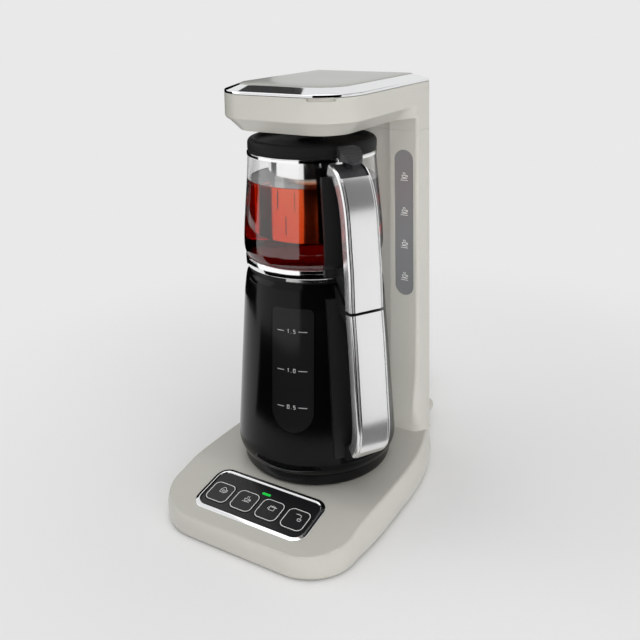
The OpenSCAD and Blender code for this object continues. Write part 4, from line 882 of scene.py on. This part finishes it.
# ---------------- Kettle
# A double-walled kettle: an outer shell of gloss black plastic over a deep-drawn steel
# vessel whose lip it snaps under, a base ring with the contact socket, and a smoke window
# with pale fill marks set into the front of the shell.
MOUTH_R, KETTLE_R, KETTLE_H, KETTLE_FOOT_R, RING_H = 66, 80.6, 202.5, 72.5, 11
SEAT_Z = BASE_H + 1
MOUTH_Z = SEAT_Z + KETTLE_H
VIEW_AZ, VIEW_W, VIEW_Z, VIEW_H, VIEW_SUNK = radians(13.6), 21, 55, 120, 0.35
MARK_INK, SIGN_STEP, END_L, END_SHUT, END_R = 0.75, 3.1, 1.5, 0.55, 0.25


def spline(points, steps):
    """The same curve as flowing, in a flat profile."""
    return [(p.x, p.y) for p in flowing([(x, y, 0) for x, y in points], steps)]


def turned(name, profile, material, body=None, slot=None, z=0.0, steps=144, sharp=32, stands_for=()):
    """A closed profile of radius and height turned round the axis of the kettle."""
    points, rows = [], []
    for r, h in profile:
        start = len(points)
        if r < 1e-6:
            points.append((0, AXIS_Y, z + h))
            rows.append([start] * steps)
        else:
            points += [(r * cos(tau * k / steps), AXIS_Y + r * sin(tau * k / steps),
                        z + h) for k in range(steps)]
            rows.append(list(range(start, start + steps)))
    faces = []
    for a, b in zip(rows, rows[1:] + rows[:1]):
        if a[0] == a[1] and b[0] == b[1]:
            continue
        for k in range(steps):
            j = (k + 1) % steps
            ring = [a[k], a[j], b[j], b[k]]
            faces.append([v for n, v in enumerate(ring) if v not in ring[:n]])
    return made_piece(name, points, faces, material, body, slot, sharp, stands_for)


taper = (KETTLE_R - MOUTH_R - 5.1) / (KETTLE_H - 53.5)
kettle_line = spline([(75.2, 11), (77.9, 14), (80.1, 19), (80.6, 24)], 12)
kettle_line += [(KETTLE_R - taper * 20, 44), (KETTLE_R - taper * 40, 64), (KETTLE_R - taper * 94, 118)]
kettle_line += spline([(71.1, 172), (70.3, 179), (69.3, 187), (68.3, 192), (66, 196.5)], 10)
inside = [(r - 3, z) for r, z in reversed(kettle_line) if z < 193]
kettle_black = finish("kettle_black", skin, Colour=(4, 4, 5), Drift=0.2, Gloss=0.14, Gloss_drift=0.05,
                      Peel=260, Depth=0.00002, Specular_IOR_Level=0.19)
lip = [(65.8, 196.9), (65.2, 196.4), (65.2, 193.5)]
kettle_shell = turned("kettle_shell", kettle_line + lip + inside, kettle_black, z=SEAT_Z, steps=192)


def around(x, r, z, az=VIEW_AZ):
    """A point at a distance from the axis, x round to the right of a direction."""
    a = az + x / r
    return (r * sin(a), AXIS_Y - r * cos(a), z)


def view_block(name, shrink):
    """The window's outline drawn straight out from the axis, through the front of the kettle."""
    w, low, high = VIEW_W - shrink, SEAT_Z + VIEW_Z + shrink, SEAT_Z + VIEW_Z + VIEW_H - shrink
    ring = arc(0, low + w, w, 180, 360, 24) + arc(w - 5, high - 5, 5, 0, 90, 6)
    ring += arc(-w + 5, high - 5, 5, 90, 180, 6)
    c, s = cos(VIEW_AZ), sin(VIEW_AZ)
    return formed(name, [[(d * s + x * c, AXIS_Y - d * c + x * s, z) for x, z in ring]
                         for d in (40, 110)])


fixed(even_shade(cut(kettle_shell, view_block("view_hole", 0))), "kettle", "black", "kettle_body")
view_smoke = finish("view_smoke", skin, Colour=(22, 22, 23), Drift=0.1, Gloss=0.12,
                    Specular_IOR_Level=0.22)
lens_line = [(r - VIEW_SUNK, z) for r, z in kettle_line if 40 < z < 190]
lens_line = [(75.2, 30)] + lens_line + [(r - 2.6, z) for r, z in reversed(lens_line)]
kettle_view = turned("kettle_view", lens_line, view_smoke, z=SEAT_Z, steps=288)
cut(kettle_view, view_block("view_form", 0.15), how="INTERSECT")
fixed(kettle_view, "kettle", "smoke", "kettle_window")


def view_r(z):
    """Distance of the window's face from the axis."""
    for (ra, za), (rb, zb) in zip(kettle_line, kettle_line[1:]):
        if za <= z - SEAT_Z <= zb:
            return ra + (rb - ra) * (z - SEAT_Z - za) / max(zb - za, 1e-6) - VIEW_SUNK


DIGITS = {"0": [[(-0.9, -1.6), (0.9, -1.6), (0.9, 1.6), (-0.9, 1.6), (-0.9, -1.6)]],
          "1": [[(-0.5, 1.0), (0.2, 1.6), (0.2, -1.6)]],
          "5": [[(0.9, 1.6), (-0.8, 1.6), (-0.8, 0.2), (0.5, 0.2), (0.9, -0.4), (0.9, -1.1), (0.4, -1.6),
                 (-0.9, -1.6)]],
          ".": [[(-0.2, -1.6), (0.2, -1.6)]]}
mark_grey = finish("mark_grey", skin, Colour=(150, 150, 150), Gloss=0.5, IOR=1.46)
for k, (height, words) in enumerate(((186, "1.5"), (148.4, "1.0"), (113, "0.5"))):
    strokes = [[(-15, 0), (-11.5, 0), (-8, 0)], [(6.5, 0), (10.5, 0), (15, 0)]]
    for i, sign in enumerate(words):
        strokes += [[(x + (i - 1) * SIGN_STEP - 0.6, y) for x, y in line] for line in DIGITS[sign]]
    inked("fill_mark_%d" % (k + 1), strokes, MARK_INK,
          lambda x, y, z: around(x, view_r(height + y) + 0.01 + z, height + y), "kettle", mark_grey)
base_black = finish("base_black", skin, Colour=(12, 12, 13), Gloss=0.3, Specular_IOR_Level=0.25)
ring_line = spline([(KETTLE_FOOT_R, 0), (74.1, 1.2), (75, 4), (75.2, 10.7)], 6) + [(74.9, RING_H)]
ring_line += [(72.2, RING_H), (71, 6), (66.5, 4.5), (24.2, 4.5), (24.2, 2.4), (64.5, 2.4), (68.5, 0)]
turned("kettle_base", ring_line, base_black, "kettle", "black", SEAT_Z, stands_for=("kettle_base_ring",))
steel_drawn = finish("steel_drawn", grain, Colour=(206, 206, 205), Gloss=0.2, Gloss_drift=0.1,
                     Drift=0.06, Lines=(6, 6, 1300), Depth=0.000006, Metallic=1)
dress("kettle_vessel", steel_drawn)
dress("kettle_collar", base_black)
dress("heating_plate", steel_drawn)
dress("kettle_socket", seat_pp)


def hoop(name, material, slot, n, a0, a1, r0, r1, z0, z1):
    """Part of a band round the mouth, between two angles from the front. A short one's
    ends are rounded."""
    rings = []
    for k in range(n + 1):
        shut = 1.0
        edge = min(k, n - k) / n * radians(a1 - a0) * r1
        if edge < END_L and a1 - a0 < 300:
            shut = END_SHUT + (1 - END_SHUT) * edge / END_L
        mid, h = (z0 + z1) / 2, (z1 - z0) / 2 * shut
        rings.append([around(0, r, z, radians(a0 + (a1 - a0) * k / n)) for r, z in (
            (r0, mid - h), (r1 - END_R, mid - h), (r1, mid - h + END_R), (r1, mid + h - END_R),
            (r1 - END_R, mid + h), (r0, mid + h))])
    formed(name, rings, material, "kettle", slot)


hoop("mouth_band", base_black, "black", 160, 41.5, 367.5, 65.4, 66.12, MOUTH_Z - 3.9, MOUTH_Z - 0.3)
hoop("mouth_lip", steel_drawn, "steel", 40, 8.2, 40.8, 65.4, 66.5, MOUTH_Z - 3.2, MOUTH_Z - 0.1)

# ---------------- Handles
# Each handle has a black moulded core that is screwed to its vessel and a chromed cover
# snapped over its front. A fine groove parts the cover's side trims from its face. On the
# teapot the face stops below the lid's lever.
HANDLE_TURN, POT_H = radians(59 - 90), 112.5
RIM_Z = MOUTH_Z + POT_H
POT_TOP, POT_LOW = RIM_Z - 2.5, MOUTH_Z - 21
KETTLE_HIGH, KETTLE_LOW = POT_LOW - 2.6, SEAT_Z + 43
STEP_Z, FACING_UP = 0.3335, 0.25
pot_front = spline([(66, POT_TOP), (78, POT_TOP - 4), (87, POT_TOP - 13.5), (94, POT_TOP - 29.5),
                    (98, POT_TOP - 47.5), (101, POT_TOP - 75.5), (103.3, POT_TOP - 98),
                    (104.8, POT_LOW)], 9)
kettle_front = spline([(105, KETTLE_HIGH), (109, KETTLE_HIGH - 33), (113, KETTLE_HIGH - 79),
                       (115, KETTLE_LOW + 33), (114, KETTLE_LOW + 19), (111, KETTLE_LOW + 8),
                       (105, KETTLE_LOW)], 10)
right = [(17.5, 11), (17.5, 3.2), (17.32, 2.1), (16.9, 1.3), (16.3, 0.75), (15.6, 0.5), (15.2, 0.62),
         (15.02, 0.95), (14.72, 1.25), (14.42, 0.95), (14.28, 0.45), (13.9, 0.12), (13.2, 0.0), (7, 0.0)]
section = [(-x, d) for x, d in right] + [(0, 0)] + list(reversed(right))
section += mirrored([(15.5, 11), (15.5, 3.8), (15.2, 2.7), (14, 2)])


def on_handle(x, y, z):
    """A point of the handles' own frame: x outward from the axis, y across."""
    c, s = cos(HANDLE_TURN), sin(HANDLE_TURN)
    return (x * c - y * s, AXIS_Y + x * s + y * c, z)


def cover(name, line):
    """The cover's section carried down its front line."""
    rings = []
    for i, (x, z) in enumerate(line):
        ax, az = line[max(i - 1, 0)]
        bx, bz = line[min(i + 1, len(line) - 1)]
        step = hypot(bx - ax, bz - az)
        tx, tz = (bx - ax) / step, (bz - az) / step
        rings.append([on_handle(x + tz * d, y, z - tx * d) for y, d in section])
    return formed(name, rings, chrome_satin, None, None, 40)


chrome_satin = finish("chrome_satin", skin, Colour=(253, 253, 253), Drift=0.012, Gloss=0.22,
                      Gloss_drift=0.03, Peel=90, Depth=0.00002, Metallic=1)
lever_room = [(20, POT_TOP - 11), (130, POT_TOP - 11), (130, POT_TOP + 29), (20, POT_TOP + 29)]
pot_cover = cut(cover("pot_cover", pot_front), formed("lever_room", [
    [on_handle(x, y, z) for x, z in lever_room] for y in (-15.1, 15.1)]))
kettle_cover = cover("kettle_cover", kettle_front)
fixed(even_shade(pot_cover), "teapot", "chrome", "pot_handle_shell")
fixed(even_shade(kettle_cover), "kettle", "chrome", "kettle_handle_shell")
core_black = finish("core_black", skin, Colour=(26, 26, 27), Gloss=0.32, Gloss_drift=0.08,
                    Specular_IOR_Level=0.3)
# A lighter grey copy of the core's black: painted light for its upward faces high on the handle.
core_top_painted_light = finish("core_top_painted_light", skin, Colour=(58, 58, 60), Gloss=0.45, Specular_IOR_Level=0.3)
for short, body in (("pot", "teapot"), ("kettle", "kettle")):
    core = copied(short + "_core_moulded", short + "_handle_core", core_black, body, "black")
    core.data.materials.append(core_top_painted_light)
    # Faces above STEP_Z that face upward take the lighter grey: painted light from above.
    for face in core.data.polygons:
        if face.center.z > STEP_Z and face.normal.z > FACING_UP:
            face.material_index = 1
    soften(core, 0.7)

# ---------------- Teapot
# A blown borosilicate glass pot stands in a spun steel foot ring that centres it on the
# kettle. A perforated steel infuser with a gauze band hangs from its rim in the tea, and a
# black lid with a pouring hole closes it. The liquid moves with the pot.
GLASS_T, RIM_R, TEA_H = 2.2, 64.8, 321 - MOUTH_Z
pot_line = spline([(66.6, 4.4), (67.6, 9), (70.2, 19), (69.5, 42), (66.8, 73.5), (64.8, 103.5),
                   (64.8, 111.6)], 9) + [(64.6, 112.2), (64.1, POT_H)]
pot_in = [(63.1, POT_H), (62.75, 112.2)]
pot_in += [(r - GLASS_T, z) for r, z in reversed(pot_line[:-2]) if z > 7.4]
pot_in += [(62.4, 7.1), (60.5, 6.8), (30, 6.8), (0, 6.8)]
clear_glass = finish("clear_glass", None, Base_Color=(0.995, 0.998, 0.997, 1), Roughness=0, IOR=1.47,
                     Transmission_Weight=1, Specular_IOR_Level=0.3)
turned("glass_pot", [(0, 4.4), (30, 4.4), (60, 4.4)] + pot_line + pot_in, clear_glass, "teapot", "glass",
       MOUTH_Z, 192, 40, ("pot_glass",))
tea_clear = finish("tea_liquid", None, Base_Color=(1, 1, 1, 1), Roughness=0, IOR=1.333,
                   Transmission_Weight=1, Specular_IOR_Level=0.2)
tree = tea_clear.node_tree
brew = node(tree, "VolumeAbsorption", Color=(0.915, 0.4, 0.05, 1), Density=92)
tree.links.new(brew.outputs[0], tree.nodes["Material Output"].inputs["Volume"])
tea_line = [(r - GLASS_T + 0.25, z) for r, z in pot_line[:-2] if 7.4 < z < TEA_H - 1]
r = tea_line[-1][0]
turned("tea", [(0, 6.6), (60.5, 6.6), (62.4, 6.9)] + tea_line
       + [(r, TEA_H + 0.6), (r - 1.0, TEA_H + 0.1), (r - 2.5, TEA_H), (0, TEA_H)],
       tea_clear, "teapot", None, MOUTH_Z, 192, 50)
steel_polished = finish("steel_polished", grain, Colour=(252, 252, 252), Gloss=0.08, Gloss_drift=0.06,
                        Drift=0.03, Lines=(5, 5, 900), Depth=0.000004, Metallic=1)
foot_ring = [(60.6, -2.2), (63.1, -2.2), (63.4, -1.8), (63.4, 0), (67.9, 0), (68.5, 0.3), (68.8, 1.0),
             (68.8, 7.9), (68.6, 8.6), (68.1, 9.0), (67.8, 9.0), (67.2, 4.3), (60.6, 4.3)]
turned("foot_ring", foot_ring, steel_polished, "teapot", "steel", MOUTH_Z, 192, 32, ("pot_foot_ring",))
dress("pot_rim", steel_polished)
steel_basket = finish("steel_basket", grain, Colour=(248, 248, 247), Gloss=0.12, Gloss_drift=0.1,
                      Drift=0.05, Lines=(5, 5, 1100), Depth=0.000008, Metallic=1)
dress("infuser", steel_basket)
GAUZE_R, GAUZE_T, GAUZE_FOOT, GAUZE_TOP = 43.1, 0.4, -82, -14
gauze = [(GAUZE_R - GAUZE_T, GAUZE_FOOT), (GAUZE_R, GAUZE_FOOT), (GAUZE_R, GAUZE_TOP),
         (GAUZE_R - GAUZE_T, GAUZE_TOP)]
turned("infuser_gauze", gauze, steel_basket, "teapot", "steel", RIM_Z, 144, 30)
lid_black = finish("lid_black", skin, Colour=(24, 24, 25), Drift=0.15, Gloss=0.5, Gloss_drift=0.06,
                   Peel=1300, Depth=0.00003, Specular_IOR_Level=0.12)
LID_Z, LID_H, DISH = RIM_Z + 0.8, 13, 5
r = RIM_R
lid = [(8, -2.6), (8, 4.6), (8.4, 5), (13.6, 5), (14, 5.3), (14.8, 8.2), (15.4, 8.55), (20, 8)]
lid += spline([(r - 12, LID_H - DISH), (r - 9.5, LID_H - DISH + 1.2), (r - 7, LID_H - 0.8),
               (r - 4.6, LID_H), (r - 2.2, LID_H - 0.9), (r - 0.6, LID_H - 2.8),
               (r - 0.1, LID_H - 5)], 5)
lid += [(r - 0.1, 2.6), (r - 0.9, 1.8), (r - 0.9, 0), (r - 6, 0), (r - 6.4, -2.6), (r - 9, -2.6),
        (r - 9, 2), (12, 2), (12, -2.6)]
turned("pot_cover_lid", lid, lid_black, "teapot", "black", LID_Z, 192, 30, ("pot_lid",))

# ---------------- Thumb lever
# A ribbed thumb piece in satin black plastic that turns on a steel pin through the ear
# of the teapot handle.
lever_satin = finish("lever_satin", skin, Colour=(44, 44, 46), Gloss=0.42, Gloss_drift=0.1,
                     Peel=1500, Depth=0.00004, Specular_IOR_Level=0.45)
soften(copied("thumb_piece", "thumb_lever", lever_satin, "lever", "smoke"), 0.5)
dress("lever_pin", steel_bright)

# ---------------- Screws in the base
# Four steel screws hold the bottom plate, in round wells between the feet.
screw_steel = finish("screw_steel", grain, Colour=(150, 150, 150), Gloss=0.3,
                     Lines=(700, 700, 700), Metallic=1)
SCREW_HEAD = [(1.2, 1.5), (3.0, 1.9), (3.2, 2.3), (3.2, 3.2)]
for k, (x, y) in enumerate(((-62, -84), (62, -84), (-44, 92), (44, 92))):
    formed("base_screw_%d" % (k + 1), [at_z(arc(x, y, q, 0, 345, 23), z) for q, z in SCREW_HEAD],
           screw_steel, "base")

low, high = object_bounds()
